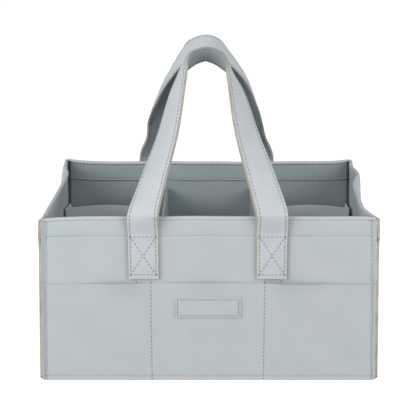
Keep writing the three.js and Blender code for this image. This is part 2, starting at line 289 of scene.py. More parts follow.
@dataclass(frozen=True)
class RawEdgeFinish:
    """Cut edge of the sheet: cream backing cloth with tan fibres."""

    name: str
    cream: Colour
    tan: Colour
    fibre: float = 1.4 * MM
    fibre_depth: float = 0.12 * MM
    patch_rate: float = 0.06
    tone_span: tuple[float, float] = (0.12, 0.4)
    roughness: float = 0.85

    def material(self) -> Material:
        """Builds the material on the object's own coordinates.

        Returns:
            The material.
        """
        shader = Shader(self.name)
        solid = shader.add("ShaderNodeTexCoord").outputs["Object"]
        fibres = shader.noise(solid, 1 / self.fibre, detail=4.0)
        patches = shader.noise(solid, self.patch_rate / self.fibre)
        share = shader.spread(shader.combine("MULTIPLY", fibres, patches), 0.0, 1.0, self.tone_span)
        return shader.coat({
            "Base Color": shader.blend(share, self.tan, self.cream),
            "Normal": shader.bump(fibres, self.fibre_depth),
            "Roughness": self.roughness,
        })


@dataclass(frozen=True)
class FibreFinish:
    """Thread, board or tape: one colour broken up by fibres. A thread's sizes are the usual ones."""

    name: str
    colour: Colour
    fibre: float = 0.5 * MM
    depth: float = 0.08 * MM
    roughness: float = 0.55
    contrast: float = 0.12

    def material(self) -> Material:
        """Builds the material on the object's own coordinates.

        Returns:
            The material.
        """
        shader = Shader(self.name)
        solid = shader.add("ShaderNodeTexCoord").outputs["Object"]
        fibres = shader.noise(solid, 1 / self.fibre, detail=3.0)
        low = scaled(self.colour, 1 - self.contrast)
        high = scaled(self.colour, 1 + self.contrast)
        return shader.coat({
            "Base Color": shader.blend(shader.spread(fibres, 0.0, 1.0), low, high),
            "Normal": shader.bump(fibres, self.depth),
            "Roughness": self.roughness,
        })


def leather(name: str, *colour: int, **sizes: float) -> Field:
    """Field that holds a leather of a screen colour."""
    return field(default_factory=LeatherFinish(name, screen(*colour), **sizes).material)


def cut_edge(name: str, cream: tuple[int, int, int], tan: tuple[int, int, int]) -> Field:
    """Field that holds a raw edge of two screen colours."""
    return field(default_factory=RawEdgeFinish(name, screen(*cream), screen(*tan)).material)


def fibrous(name: str, *colour: int, **sizes: float) -> Field:
    """Field that holds a thread, board or tape of a screen colour."""
    return field(default_factory=FibreFinish(name, screen(*colour), **sizes).material)


@dataclass
class Finishes:
    """All materials of the caddy, made once."""

    outer: Material = leather("wall_leather", 178, 184, 187)
    # Darker than the wall leather as painted shade of the box's inside; it also covers the dividers, the
    # base and the backs of the pockets.
    lining: Material = leather("lining_leather", 143, 153, 156, roughness=0.6)
    strap: Material = leather("strap_leather", 184, 189, 193, mottle=30 * MM)
    # The straps' inner faces are darker copies of the strap leather: painted shade, deepest on the back
    # strap.
    strap_inside: Material = leather("strap_inside_painted_shade", 172, 183, 187, roughness=0.62)
    back_strap_inside: Material = leather("back_strap_inside_painted_shade", 121, 133, 137, roughness=0.62)
    label: Material = leather("label_leather", 178, 185, 188, grain=0.8 * MM)
    # Darker copy of the wall leather for the folded-over facing: painted shade of the box's inside.
    facing: Material = leather("facing_leather", 143, 155, 158, roughness=0.56)
    inner_pocket: Material = leather("inner_pocket_leather", 205, 212, 216)
    raw_edge: Material = cut_edge("raw_edge", (190, 186, 171), (154, 146, 128))
    strap_edge: Material = cut_edge("strap_edge", (174, 171, 160), (148, 143, 130))
    pocket_edge: Material = cut_edge("pocket_edge", (232, 230, 222), (206, 202, 190))
    thread: Material = fibrous("thread", 122, 128, 148)
    strap_thread: Material = fibrous("strap_thread", 138, 144, 160)
    # Darker copy of the hem thread for the rows seen inside the box: painted shade.
    facing_thread_painted_shade: Material = fibrous("facing_thread_painted_shade", 66, 74, 82)
    hem_thread: Material = fibrous("hem_thread", 150, 156, 170)
    board: Material = fibrous("stiffener_board", 206, 198, 176, fibre=3 * MM, depth=0.1 * MM, roughness=0.9)
    tape: Material = fibrous("hook_loop_tape", 160, 166, 172,
                             fibre=0.9 * MM, depth=0.4 * MM, roughness=0.95, contrast=0.3)


def ripple(across: np.ndarray, up: np.ndarray, seed: int, wave: float = 90 * MM) -> np.ndarray:
    """Slow unevenness of a hand-made sheet.

    Args:
        across: Distance along the sheet.
        up: Distance up the sheet, of a shape that goes with across.
        seed: Which of many patterns to take.
        wave: Length of the longest waves.

    Returns:
        Values between about -1 and 1.
    """
    rng = np.random.default_rng(seed)
    total = np.zeros(np.broadcast(across, up).shape)
    for octave in RIPPLE_OCTAVES:
        turn, first, second = rng.uniform(0, 2 * math.pi, 3)
        rate = 2 * math.pi * octave / wave
        total += np.sin(rate * (across * math.cos(turn) + up * math.sin(turn)) + first) / octave
        total += RIPPLE_STRAIGHT * np.sin(rate * across + second) / octave
    return total / RIPPLE_SCALE


def eased(share: np.ndarray) -> np.ndarray:
    """Soft step from 0 to 1 as the share goes from 0 to 1."""
    held = np.clip(share, 0, 1)
    return held * held * (3 - 2 * held)


def graded(start: float, stop: float, step: float, marks: tuple[float, ...] = ()) -> np.ndarray:
    """Positions from start to stop, close together around marked ones such as seams.

    Args:
        start: First position.
        stop: Last position.
        step: Usual spacing.
        marks: Positions that get finer spacing.

    Returns:
        The sorted positions.
    """
    count = max(int(round((stop - start) / step)), 1)
    places = list(np.linspace(start, stop, count + 1))
    for mark in marks:
        places += [mark + k * MARK_SPACING for k in range(-MARK_STEPS, MARK_STEPS + 1)]
    kept = np.unique(np.round([p for p in places if start <= p <= stop], 6))
    close = np.diff(kept) < CLOSEST_LEVELS
    return np.delete(kept, np.flatnonzero(close[:-1]) + 1)


def groove(place: np.ndarray, marks: tuple[float, ...], depth: float = 0.4 * MM,
           width: float = 1.0 * MM) -> np.ndarray:
    """Depth of the hollows that seams press into a sheet.

    Args:
        place: Distance across the seams.
        marks: Where the seams run.
        depth: Depth of the hollow under a seam.
        width: Half width of a hollow.

    Returns:
        The depth at each place.
    """
    total = np.zeros(np.shape(place))
    for mark in marks:
        total = total + depth * np.exp(-(((place - mark) / width) ** 2))
    return total


def path_length(points: np.ndarray) -> np.ndarray:
    """Running length along a row of points."""
    steps = np.linalg.norm(np.diff(points, axis=0), axis=1)
    return np.concatenate([[0.0], np.cumsum(steps)])


def linked(name: str, data: ID) -> Object:
    """New object with the given data, linked to the scene.

    Args:
        name: Name of the object.
        data: Its mesh, light or camera data.

    Returns:
        The object.
    """
    made = bpy.data.objects.new(name, data)
    bpy.context.scene.collection.objects.link(made)
    return made


def mesh_object(name: str, points: np.ndarray, faces: list, materials: list) -> Object:
    """New object from points and faces that all point outward.

    Args:
        name: Piece name.
        points: Corner points, one row each.
        faces: Pairs of a corner list and a material number.
        materials: Materials in order.

    Returns:
        The object, at the origin and linked to the scene.
    """
    volume = 0.0
    for corners, _ in faces:
        first = points[corners[0]]
        for second, third in zip(corners[1:-1], corners[2:]):
            volume += first @ np.cross(points[second], points[third])
    turned = [corners if volume > 0 else corners[::-1] for corners, _ in faces]
    mesh = bpy.data.meshes.new(name)
    mesh.from_pydata(points.tolist(), [], [list(map(int, corners)) for corners in turned])
    mesh.polygons.foreach_set("material_index", [number for _, number in faces])
    mesh.polygons.foreach_set("use_smooth", [True] * len(faces))
    mesh.set_sharp_from_angle(angle=SHARP_ANGLE)
    for material in materials:
        mesh.materials.append(material)
    return linked(name, mesh)


def lay_uv(made: Object, places: np.ndarray) -> None:
    """Gives a mesh a UV map in metres.

    Args:
        made: The mesh object.
        places: Two map coordinates for each vertex.
    """
    layer = made.data.uv_layers.new(name="UVMap")
    corners = np.zeros(len(made.data.loops), np.int32)
    made.data.loops.foreach_get("vertex_index", corners)
    layer.data.foreach_set("uv", places[corners].astype(np.float32).ravel())


@dataclass
class Sheet:
    """A sheet of material between two faces that are sampled on the same grid."""

    name: str
    outer: np.ndarray
    inner: np.ndarray
    materials: tuple[Material, ...]
    strips: list[int] | None = None
    edges: tuple[int, ...] = (Place.EDGE,) * 4
    # Painted shade by station and level, kept in a vertex attribute that darkens the leather.
    shade: np.ndarray | None = None

    def build(self) -> Object:
        """Makes the closed mesh: outer face, inner face and the four edges.

        The outer face has a material number for each strip between levels, and the edges
        have one each: first level, last level, first station, last station.

        Returns:
            The mesh object, at the origin.
        """
        stations, levels = self.outer.shape[:2]
        front = np.arange(stations * levels).reshape(stations, levels)
        back = front + stations * levels
        points = np.concatenate([self.outer.reshape(-1, 3), self.inner.reshape(-1, 3)])
        faces = []
        strips = self.strips or [Place.OUTER] * (levels - 1)
        for grid, numbers in ((front, strips), (back[::-1], [Place.INNER] * (levels - 1))):
            for a, b in zip(grid[:-1], grid[1:]):
                faces += [([a[j], b[j], b[j + 1], a[j + 1]], numbers[j]) for j in range(levels - 1)]
        borders = (
            (front[::-1, 0], back[::-1, 0]),
            (front[:, -1], back[:, -1]),
            (front[0, :], back[0, :]),
            (front[-1, ::-1], back[-1, ::-1]),
        )
        for (near, far), number in zip(borders, self.edges):
            faces += [([near[k], near[k + 1], far[k + 1], far[k]], number) for k in range(len(near) - 1)]
        made = mesh_object(self.name, points, faces, list(self.materials))
        along = path_length(self.outer[:, levels // 2])
        up = path_length(self.outer[stations // 2])
        flat = np.stack(np.meshgrid(along, up, indexing="ij"), axis=-1).reshape(-1, 2)
        lay_uv(made, np.concatenate([flat, flat]))
        # Painted shade goes onto the outer face's vertices only.
        if self.shade is not None:
            layer = made.data.attributes.new(PAINTED_SEAM_SHADE, "FLOAT", "POINT")
            values = np.concatenate([self.shade.ravel(), np.zeros(stations * levels)])
            layer.data.foreach_set("value", values.astype(np.float32))
        return made


def dress(made: Object, body: str, slot: Slot, *nodes: str) -> Object:
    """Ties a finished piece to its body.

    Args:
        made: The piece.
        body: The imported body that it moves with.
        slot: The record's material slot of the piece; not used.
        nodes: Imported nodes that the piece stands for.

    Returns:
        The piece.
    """
    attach(made, body)
    if nodes:
        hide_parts(*nodes)
    LOG.info("%s: %d faces on %s", made.name, len(made.data.polygons), body)
    return made


class StitchTree(NodeTree):
    """Geometry Nodes tree that lays stitches along every row of a mesh of edges."""

    def __init__(self) -> None:
        """Builds the tree with named inputs for the sizes of a stitch."""
        super().__init__(bpy.data.node_groups.new("stitch_rows", "GeometryNodeTree"))
        kinds = {"Rows": "Geometry", "Pitch": "Float", "Stitch Length": "Float",
                 "Thread Width": "Float", "Thread": "Material"}
        self.sockets = {name: self.socket(name, kind, "INPUT") for name, kind in kinds.items()}
        self.socket("Stitches", "Geometry", "OUTPUT")
        self.wire()

    def socket(self, name: str, kind: str, way: str) -> NodeTreeInterfaceSocket:
        """Adds a named input or output."""
        return self.tree.interface.new_socket(name, in_out=way, socket_type=f"NodeSocket{kind}")

    def wire(self) -> None:
        """Joins the nodes: rows to points, one thread loop on each, real mesh, thread material."""
        given = self.add("NodeGroupInput").outputs
        curve = self.add("GeometryNodeMeshToCurve", {"Mesh": given["Rows"]})
        spaced = {"Curve": curve.outputs["Curve"], "Length": given["Pitch"]}
        points = self.add("GeometryNodeCurveToPoints", spaced, mode="LENGTH").outputs
        width = given["Thread Width"]
        size = self.add("ShaderNodeCombineXYZ", {"X": given["Stitch Length"], "Y": width, "Z": width})
        bead = self.add("GeometryNodeMeshUVSphere", {"Segments": 6, "Rings": 6, "Radius": 0.5})
        smooth = self.add("GeometryNodeSetShadeSmooth", {"Geometry": bead.outputs["Mesh"]})
        stretched = {"Geometry": smooth.outputs["Geometry"], "Scale": size.outputs["Vector"]}
        loop = self.add("GeometryNodeTransform", stretched)
        turn = self.add("FunctionNodeAlignRotationToVector", {"Vector": points["Tangent"]}, axis="X")
        laid = self.add("GeometryNodeInstanceOnPoints", {
            "Points": points["Points"],
            "Instance": loop.outputs["Geometry"],
            "Rotation": turn.outputs["Rotation"],
        })
        real = self.add("GeometryNodeRealizeInstances", {"Geometry": laid.outputs["Instances"]})
        coated = {"Geometry": real.outputs["Geometry"], "Material": given["Thread"]}
        finished = self.add("GeometryNodeSetMaterial", coated)
        self.add("NodeGroupOutput", {"Stitches": finished.outputs["Geometry"]})


@dataclass
class StitchRows:
    """Rows of stitches that ride on one body."""

    tree: StitchTree
    thread: Material
    pitch: float = 4.6 * MM
    length: float = 3.4 * MM
    width: float = 0.85 * MM
    rows: list[np.ndarray] = field(default_factory=list)

    def add(self, points: np.ndarray) -> None:
        """Adds a row through the given points."""
        self.rows.append(np.asarray(points, float))

    def build(self, name: str) -> Object:
        """Lays the stitches of all rows as one plain mesh.

        Args:
            name: Piece name.

        Returns:
            The mesh object, at the origin.
        """
        points, edges = [], []
        for row in self.rows:
            first = len(points)
            points += row.tolist()
            edges += [(first + k, first + k + 1) for k in range(len(row) - 1)]
        mesh = bpy.data.meshes.new(name)
        mesh.from_pydata(points, edges, [])
        made = linked(name, mesh)
        modifier = made.modifiers.new("stitches", "NODES")
        modifier.node_group = self.tree.tree
        values = {"Pitch": self.pitch, "Stitch Length": self.length,
                  "Thread Width": self.width, "Thread": self.thread}
        for key, value in values.items():
            modifier[self.tree.sockets[key].identifier] = value
        evaluated = made.evaluated_get(bpy.context.evaluated_depsgraph_get())
        made.data = bpy.data.meshes.new_from_object(evaluated)
        made.modifiers.clear()
        made.data.name = name
        return made


@dataclass(frozen=True)
class BoxSizes:
    """Sizes of the sewn box, and depths of its wall layers inward from the outer face."""

    rim_half_width: float = 186.6 * MM
    base_half_width: float = 192.8 * MM
    half_depth: float = 125.0 * MM
    height: float = 197.0 * MM
    skin_end: float = 1.15 * MM
    lining_start: float = 3.1 * MM
    lining_end: float = 3.85 * MM
    facing_start: float = 3.9 * MM
    facing_end: float = 5.0 * MM
    board_room: float = 1.9 * MM
    hem_depth: float = 24.0 * MM
    side_hem_depth: float = 75.0 * MM
    hem_shift_depth: float = 27.0 * MM
    hem_curl: float = 1.5 * MM
    hem_curl_run: float = 1.8 * MM
    divider_x: float = 63.5 * MM
    divider_half: float = 13.0 * MM
    divider_fade: float = 5.0 * MM
    hem_close_run: float = 5.5 * MM
    hem_shift: float = 1.2 * MM
    seam_radius: float = 1.5 * MM
    seam_turn: float = math.radians(45)
    seam_flange: float = 3.8 * MM
    seam_row_inset: float = 1.2 * MM
    seam_gap: float = 0.15 * MM
    # Width of the painted shade in the inner corners.
    seam_shade: float = 1.4 * MM
    bottom_round: float = 3.0 * MM
    top_trim: float = 0.75
    front_top_round: float = 3.0 * MM
    back_top_round: float = 12.0 * MM
    press_run: float = 14.0 * MM
    layer_foot: float = 5.3 * MM
    top_row: float = 193.0 * MM
    hem_row: float = 174.6 * MM
    bottom_row: float = 5.0 * MM
    splay: float = 0.004
    board_inset: float = 9.0 * MM
    pocket_height: float = 119.5 * MM
    pocket_droop: float = 2.0 * MM
    pocket_outer: float = -1.25 * MM
    pocket_inner: float = -0.1 * MM
    pocket_seams: tuple[float, float] = POCKET_SEAMS
    inside_seam_x: float = 81.5 * MM

    @property
    def rim_radius(self) -> float:
        """Radius of the rolled rim."""
        return self.facing_end / 2

    @property
    def corner_inset(self) -> float:
        """Distance from a corner to the end of a wall's straight run."""
        depth = self.facing_end - self.board_room + self.seam_gap
        return depth + math.tan(self.seam_turn / 2) * (self.seam_radius + depth)

    def half_width(self, z: np.ndarray) -> np.ndarray:
        """Half width of the box at a height."""
        return self.base_half_width + (self.rim_half_width - self.base_half_width) * z / self.height

    def pressed(self, depth: np.ndarray) -> np.ndarray:
        """Depth of a layer inside a corner seam, where the board is left out.

        Args:
            depth: Depth of the layer in the wall's run.

        Returns:
            Its depth in the seam.
        """
        shares = np.clip((depth - self.skin_end) / (self.lining_start - self.skin_end), 0, 1)
        between = self.skin_end + shares * (self.lining_start - self.board_room - self.skin_end)
        past = np.where(depth >= self.lining_start, depth - self.board_room, between)
        return np.where(depth <= self.skin_end, depth, past)

    def hem_close(self, z: np.ndarray) -> np.ndarray:
        """How far a corner seam closes below the folded hem."""
        foot = self.height - self.hem_shift_depth
        return self.hem_shift * np.clip((foot - z) / self.hem_close_run, 0, 1)

    def splayed(self, points: np.ndarray) -> np.ndarray:
        """Points drawn apart sideways, not at all in front and most at the back.

        Args:
            points: Points before the splay.

        Returns:
            The moved points.
        """
        made = points.copy()
        made[..., 0] *= 1 + self.splay * (points[..., 1] / self.half_depth + 1) / 2
        return made

    def flange(self, z: np.ndarray, top_round: np.ndarray) -> np.ndarray:
        """Width of the corner flange, trimmed round at its foot and cut away toward its top.

        Args:
            z: Height.
            top_round: Height over which the top is cut away.

        Returns:
            The width at each height.
        """
        drop = np.clip(self.bottom_round - z, 0, self.bottom_round)
        foot = self.seam_flange - self.bottom_round + np.sqrt(self.bottom_round**2 - drop**2)
        near_top = eased(1 - (self.height - z) / top_round)
        return foot * (1 - self.top_trim * near_top)


@dataclass(frozen=True)
class Stations:
    """Places along a wall, from one corner flange across the run to the other."""

    side: np.ndarray
    turn: np.ndarray
    flange: np.ndarray
    share: np.ndarray
    press: np.ndarray

    @property
    def parts(self) -> tuple[np.ndarray, ...]:
        """All the arrays, in the order of the fields."""
        return self.side, self.turn, self.flange, self.share, self.press

    @staticmethod
    def whole(run: np.ndarray, reach: float, box: BoxSizes) -> "Stations":
        """Stations of a whole wall.

        Args:
            run: Distances along the straight run.
            reach: Half length of the run.
            box: Sizes of the box.

        Returns:
            The stations in order.
        """
        tips = [1.0, 0.9, 0.7, 0.55, 0.4, 0.2]
        turns = [1.0, 0.8, 0.6, 0.4, 0.2]
        corner = len(tips) + len(turns)
        flange = np.array(tips + [0.0] * len(turns))
        turn = np.array([1.0] * len(tips) + turns) * box.seam_turn
        shares = run / reach
        ease = eased((reach - np.abs(run)) / box.press_run)
        rest = np.zeros(len(run))
        return Stations(
            side=np.concatenate([-np.ones(corner), rest, np.ones(corner)]),
            turn=np.concatenate([turn, rest, turn[::-1]]),
            flange=np.concatenate([flange, rest, flange[::-1]]),
            share=np.concatenate([-np.ones(corner), shares, np.ones(corner)]),
            press=np.concatenate([np.ones(corner), 1 - ease, np.ones(corner)]),
        )

    @staticmethod
    def seam(side: int, share: float) -> "Stations":
        """The one station of a stitched row beside a corner."""
        one = np.ones(1)
        return Stations(0 * one, 0 * one, 0 * one, side * share * one, one)


@dataclass(frozen=True)
class Bay:
    """One bay of an outer pocket: its ends, where its top stands open most, and how far."""

    start: float
    stop: float
    peak: float
    gape: float

    def opening(self, along: np.ndarray) -> np.ndarray:
        """How far the top stands open along the wall: not at all at the bay's ends.

        Args:
            along: Distance along the wall.

        Returns:
            The opening at each place.
        """
        place = np.clip((along - self.start) / (self.stop - self.start), 0, 1)
        skew = math.log(0.5) / math.log(self.peak)
        return self.gape * np.sin(math.pi * place**skew) ** 2


BAYS = (
    Bay(-180 * MM, POCKET_SEAMS[0], peak=0.7, gape=3.4 * MM),
    Bay(*POCKET_SEAMS, peak=0.55, gape=1.6 * MM),
    Bay(POCKET_SEAMS[1], 180 * MM, peak=0.26, gape=5.0 * MM),
)
CREASES = (-84 * MM, 84 * MM)
CORNER_LIFT = {(-1, -1): -2.6 * MM, (1, -1): -0.9 * MM, (-1, 1): 3.4 * MM, (1, 1): 2.4 * MM}
POCKET_REACH = {(-1, -1): 1 * MM, (1, -1): 0.5 * MM, (-1, 1): 10.5 * MM, (1, 1): 5.5 * MM}


@dataclass(frozen=True)
class Slack:
    """How the sheets of a sewn wall depart from flat ones, and how finely they are sampled."""

    bow_power: float = 1.5
    flare_power: int = 5
    swell_reach: float = 1.2
    swell_edge: int = 6
    rim_wave: float = 0.5 * MM
    rim_wave_length: float = 150 * MM
    lift_power: int = 4
    ripple: float = 0.3 * MM
    crease_depth: float = 0.9 * MM
    crease_width: float = 2.4 * MM
    crease_fade: float = 20 * MM
    hem_puff: float = 0.35 * MM
    hem_puff_run: float = 6 * MM
    most_proud: float = 0.5 * MM
    most_hollow: float = 1.2 * MM
    facing_proud: float = 0.05 * MM
    facing_hollow: float = 0.12 * MM
    lining_ripple: float = 0.25 * MM
    lining_groove: float = 0.6 * MM
    lining_groove_width: float = 1.6 * MM
    lining_hem_drop: float = 1 * MM
    lining_top_drop: float = 0.5 * MM
    pocket_ripple: float = 0.2 * MM
    pocket_groove: float = 0.6 * MM
    gape_power: int = 7
    board_play: float = 0.06 * MM
    board_lift: float = 0.5 * MM
    stitch_proud: float = 0.1 * MM
    stitch_sink: int = 4
    skin_step: float = 5 * MM
    facing_step: float = 3 * MM
    lining_step: float = 8 * MM
    rim_steps: int = 10
    board_grid: tuple[int, int] = (40, 24)
    seam_steps: int = 60


@dataclass
class Wall:
    """One wall of the box: the shape that its skin, board, lining and pocket share."""

    facing: Facing
    box: BoxSizes
    seed: int
    bow: float = 0.0
    bow_centre: float = 0.0
    flare: float = 0.0
    flare_centre: float = 0.0
    flare_width: float = 0.25
    bulge: float = 0.0
    bulge_skew: float = 1.6
    lift_run: float = 20.0 * MM
    step: float = 4.0 * MM
    creases: tuple[float, ...] = ()
    slack: Slack = Slack()

    def reach(self, z: np.ndarray) -> np.ndarray:
        """Half length of the straight run at a height."""
        half = self.box.half_width(z) if self.facing.lengthwise else self.box.half_depth + 0 * z
        return half - self.box.corner_inset

    @property
    def middle_reach(self) -> float:
        """Half length of the straight run half way up."""
        return float(self.reach(np.array(self.box.height / 2)))

    def stations(self) -> Stations:
        """Stations of the whole wall, finer at creases and seams.

        Returns:
            The stations in order.
        """
        seams = self.box.pocket_seams if self.facing.lengthwise else ()
        reach = self.middle_reach
        run = graded(-reach, reach, self.step, self.creases + seams + (-reach, reach))
        return Stations.whole(run, reach, self.box)

    def corner_shade(self, stations: Stations) -> np.ndarray:
        """Painted shade in the inner corner at each station: 1 in the seam, 0 in the run."""
        past = (1 - np.abs(stations.share)) * self.middle_reach
        return (np.exp(-((past / self.box.seam_shade) ** 2)) * (stations.flange == 0))[:, None]

    def curl_share(self, stations: Stations) -> np.ndarray:
        """How free the facing's foot is to curl: not at all where a lifted divider passes.

        Args:
            stations: Places along the wall.

        Returns:
            A share from 0 to 1 for each station.
        """
        if not self.facing.lengthwise:
            return np.ones((len(stations.share), 1))
        away = np.abs(np.abs(stations.share * self.middle_reach) - self.box.divider_x)
        return eased((away - self.box.divider_half) / self.box.divider_fade)[:, None]

    def face(self, share: np.ndarray, z: np.ndarray) -> np.ndarray:
        """Distance of the wall's outer face from the middle of the box.

        Args:
            share: Place along the straight run, from -1 to 1.
            z: Height.

        Returns:
            The distance at each place.
        """
        if self.facing.lengthwise:
            return self.box.half_depth + 0 * share * z
        rise = np.clip(z / self.box.height, 0, None)
        past = share - self.bow_centre
        room = np.where(past > 0, 1 - self.bow_centre, 1 + self.bow_centre)
        inward = self.bow * np.cos(math.pi / 2 * past / room) * rise**self.slack.bow_power
        near = np.exp(-(((share - self.flare_centre) / self.flare_width) ** 2))
        outward = self.flare * near * rise**self.slack.flare_power
        swell = np.sin(math.pi * np.clip(rise, 0, 1) ** self.bulge_skew)
        spread = eased((1 + share) / self.slack.swell_reach) * (1 - share**self.slack.swell_edge)
        belly = self.bulge * spread * swell
        return self.box.half_width(z) - inward + outward + belly

    def rim_shift(self, share: np.ndarray, along: np.ndarray, z: np.ndarray) -> np.ndarray:
        """Rise or droop of the rim: a slow wave, and the way each corner stands.

        Args:
            share: Place along the straight run, from -1 to 1.
            along: Distance along the wall.
            z: Height.

        Returns:
            The rise at each place.
        """
        slack = self.slack
        wave = ripple(along, 0 * z, self.seed, slack.rim_wave_length)
        total = slack.rim_wave * wave * (z / self.box.height) ** 2
        sign = self.facing.sign
        for end in (-1, 1):
            corner = (end, sign) if self.facing.lengthwise else (sign, end)
            near = np.exp(-(1 - share * end) * self.middle_reach / self.lift_run)
            total = total + CORNER_LIFT[corner] * near * (z / self.box.height) ** slack.lift_power
        return total

    def surface(self, stations: Stations, depth: np.ndarray, z: np.ndarray) -> np.ndarray:
        """Points of a layer.

        Args:
            stations: Places along the wall.
            depth: Depth below the outer face, by level or by station and level.
            z: Height, by level or by station and level.

        Returns:
            Points by station and level.
        """
        box = self.box
        side, turn, flange, share, press = (part[:, None] for part in stations.parts)
        up = np.broadcast_to(z, (len(side), np.shape(z)[-1]))
        deep = np.broadcast_to(depth, up.shape)
        closed = deep + press * (box.pressed(deep) - deep) + box.hem_close(up) * turn / box.seam_turn
        radius = box.seam_radius + closed
        width = flange * box.flange(up, self.top_round(side))
        along = share * self.reach(up) + side * (radius * np.sin(turn) + width * np.cos(turn))
        lift = radius * (1 - np.cos(turn)) + width * np.sin(turn)
        out = (self.face(share, up) - closed + lift) * self.facing.sign
        top = up + self.rim_shift(share, along, up)
        order = (along, out, top) if self.facing.lengthwise else (out, along, top)
        return box.splayed(np.stack(order, axis=-1))

    def top_round(self, side: np.ndarray) -> np.ndarray:
        """Height over which the corner flange on a side is cut away at its top."""
        toward_back = side if not self.facing.lengthwise else self.facing.sign + 0 * side
        return np.where(toward_back > 0, self.box.back_top_round, self.box.front_top_round)

    def run_along(self, stations: Stations, z: np.ndarray) -> np.ndarray:
        """Distance along the wall at each station and level."""
        levels = np.broadcast_to(z, (len(stations.share), np.shape(z)[-1]))
        return stations.share[:, None] * self.reach(levels)

    def slackness(self, stations: Stations) -> np.ndarray:
        """How free the sheet is to ripple: nothing on the flanges, all in the run."""
        return 1 - stations.press[:, None]

    def skin_relief(self, stations: Stations, z: np.ndarray) -> np.ndarray:
        """Depth of the hollows that seams, creases and slack leave in the skin.

        Args:
            stations: Places along the wall.
            z: Height by level.

        Returns:
            Depth by station and level, negative where the skin stands proud.
        """
        box, slack = self.box, self.slack
        along = self.run_along(stations, z)
        free = self.slackness(stations)
        hollow = groove(z, (box.bottom_row, box.hem_row, box.top_row))[None, :]
        hollow = hollow - slack.ripple * free * ripple(along, z, self.seed)
        above_pocket = np.clip((z - box.pocket_height) / slack.crease_fade, 0, 1)
        creased = groove(along, self.creases, slack.crease_depth, slack.crease_width)
        hollow = hollow + creased * above_pocket
        hem_middle = (box.hem_row + box.top_row) / 2
        puff = slack.hem_puff * free * np.exp(-(((z - hem_middle) / slack.hem_puff_run) ** 2))
        return np.clip(hollow - puff, -slack.most_proud, slack.most_hollow)

    def inside_relief(self, hollow: np.ndarray) -> np.ndarray:
        """The part of the skin's hollows that shows on the facing."""
        return np.clip(hollow, -self.slack.facing_proud, self.slack.facing_hollow)

    def layer(self, piece: str, node: str, slot: Slot, *sheet: object, **options: object) -> Object:
        """Makes and dresses one layer of the wall.

        Args:
            piece: Piece name without the wall's own.
            node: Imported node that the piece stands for, without the wall's own name.
            slot: The record's material slot of the piece.
            sheet: The sheet's outer face, inner face and materials.
            options: The sheet's other settings.

        Returns:
            The piece.
        """
        name = self.facing.value
        made = Sheet(f"{name}_{piece}", *sheet, **options).build()
        return dress(made, "caddy", slot, f"{name}_{node}")

    def skin(self, finishes: Finishes) -> Object:
        """Outer skin: up the outside, over the rolled rim and down the inside as the facing.

        Args:
            finishes: Materials of the caddy.

        Returns:
            The skin.
        """
        box = self.box
        stations = self.stations()
        outer, strips = self.skin_face(stations, 0.0, box.facing_end, relief=True)
        inner, _ = self.skin_face(stations, box.skin_end, box.facing_start, relief=False)
        # On the long walls the facing takes the darker copy of the wall leather as painted shade.
        facing = finishes.facing if self.facing.lengthwise else finishes.outer
        materials = (finishes.outer, finishes.outer, finishes.raw_edge, facing)
        # Painted shade in the inner corners, on the facing strips only.
        inside = np.array([Place.OUTER] + strips) == Place.FACING
        return self.layer("skin_leather", "skin", Slot.OUTER, outer, inner, materials, strips=strips,
                          edges=(Place.EDGE, Place.FACING, Place.EDGE, Place.EDGE),
                          shade=self.corner_shade(stations) * inside)

    def skin_face(self, stations: Stations, depth: float, facing_depth: float,
                  relief: bool) -> tuple[np.ndarray, list[int]]:
        """One face of the skin.

        Args:
            stations: Places along the wall.
            depth: Depth of the face on the outside.
            facing_depth: Depth of the face on the inside.
            relief: Whether seams and slack show in this face.

        Returns:
            Points by station and level, and the material number of each strip between levels.
        """
        box, slack = self.box, self.slack
        rows = (box.bottom_row, box.hem_row, box.top_row)
        top = box.height - box.rim_radius
        rise = graded(0.0, top, slack.skin_step, rows)
        drop = box.hem_depth if self.facing.lengthwise else box.side_hem_depth
        fall = graded(box.height - drop, top, slack.facing_step, rows[1:])[::-1]
        angles = np.linspace(math.pi, 0, slack.rim_steps)[1:-1]
        radii = np.linspace(box.rim_radius - depth, facing_depth - box.rim_radius, len(angles))
        z = np.concatenate([rise, top + radii * np.sin(angles), fall])
        curl = box.hem_curl * (1 - eased((fall - fall[-1]) / box.hem_curl_run))
        rolled = box.rim_radius + radii * np.cos(angles)
        flat = np.concatenate([depth + 0 * rise, rolled, facing_depth + 0 * fall])
        deep = flat + self.curl_share(stations) * np.concatenate([0 * rise, 0 * angles, curl])
        strips = [Place.OUTER] * (len(rise) + len(angles)) + [Place.FACING] * (len(fall) - 1)
        if not relief:
            return self.surface(stations, deep, z), strips
        hollow = self.skin_relief(stations, z)
        sign = np.concatenate([1 + 0 * rise, 0 * angles, -1 + 0 * fall])
        deep = deep + np.where(sign > 0, hollow, sign * self.inside_relief(hollow))
        return self.surface(stations, deep, z), strips

    def board(self, finishes: Finishes) -> Object:
        """Stiffener board between skin and lining, which stops short of the corner seams.

        Args:
            finishes: Materials of the caddy.

        Returns:
            The board.
        """
        box, slack = self.box, self.slack
        across, up = slack.board_grid
        reach = self.middle_reach - box.board_inset
        whole = Stations.whole(np.linspace(-reach, reach, across), self.middle_reach, box)
        stations = Stations(*(part[whole.side == 0] for part in whole.parts))
        z = np.linspace(box.layer_foot + slack.board_lift, box.height - 2 * box.rim_radius, up)
        depths = (box.skin_end + slack.board_play, box.lining_start - slack.board_play)
        faces = [self.surface(stations, np.full(up, depth), z) for depth in depths]
        return self.layer("stiffener", "board", Slot.BOARD, *faces, (finishes.board,) * 3)

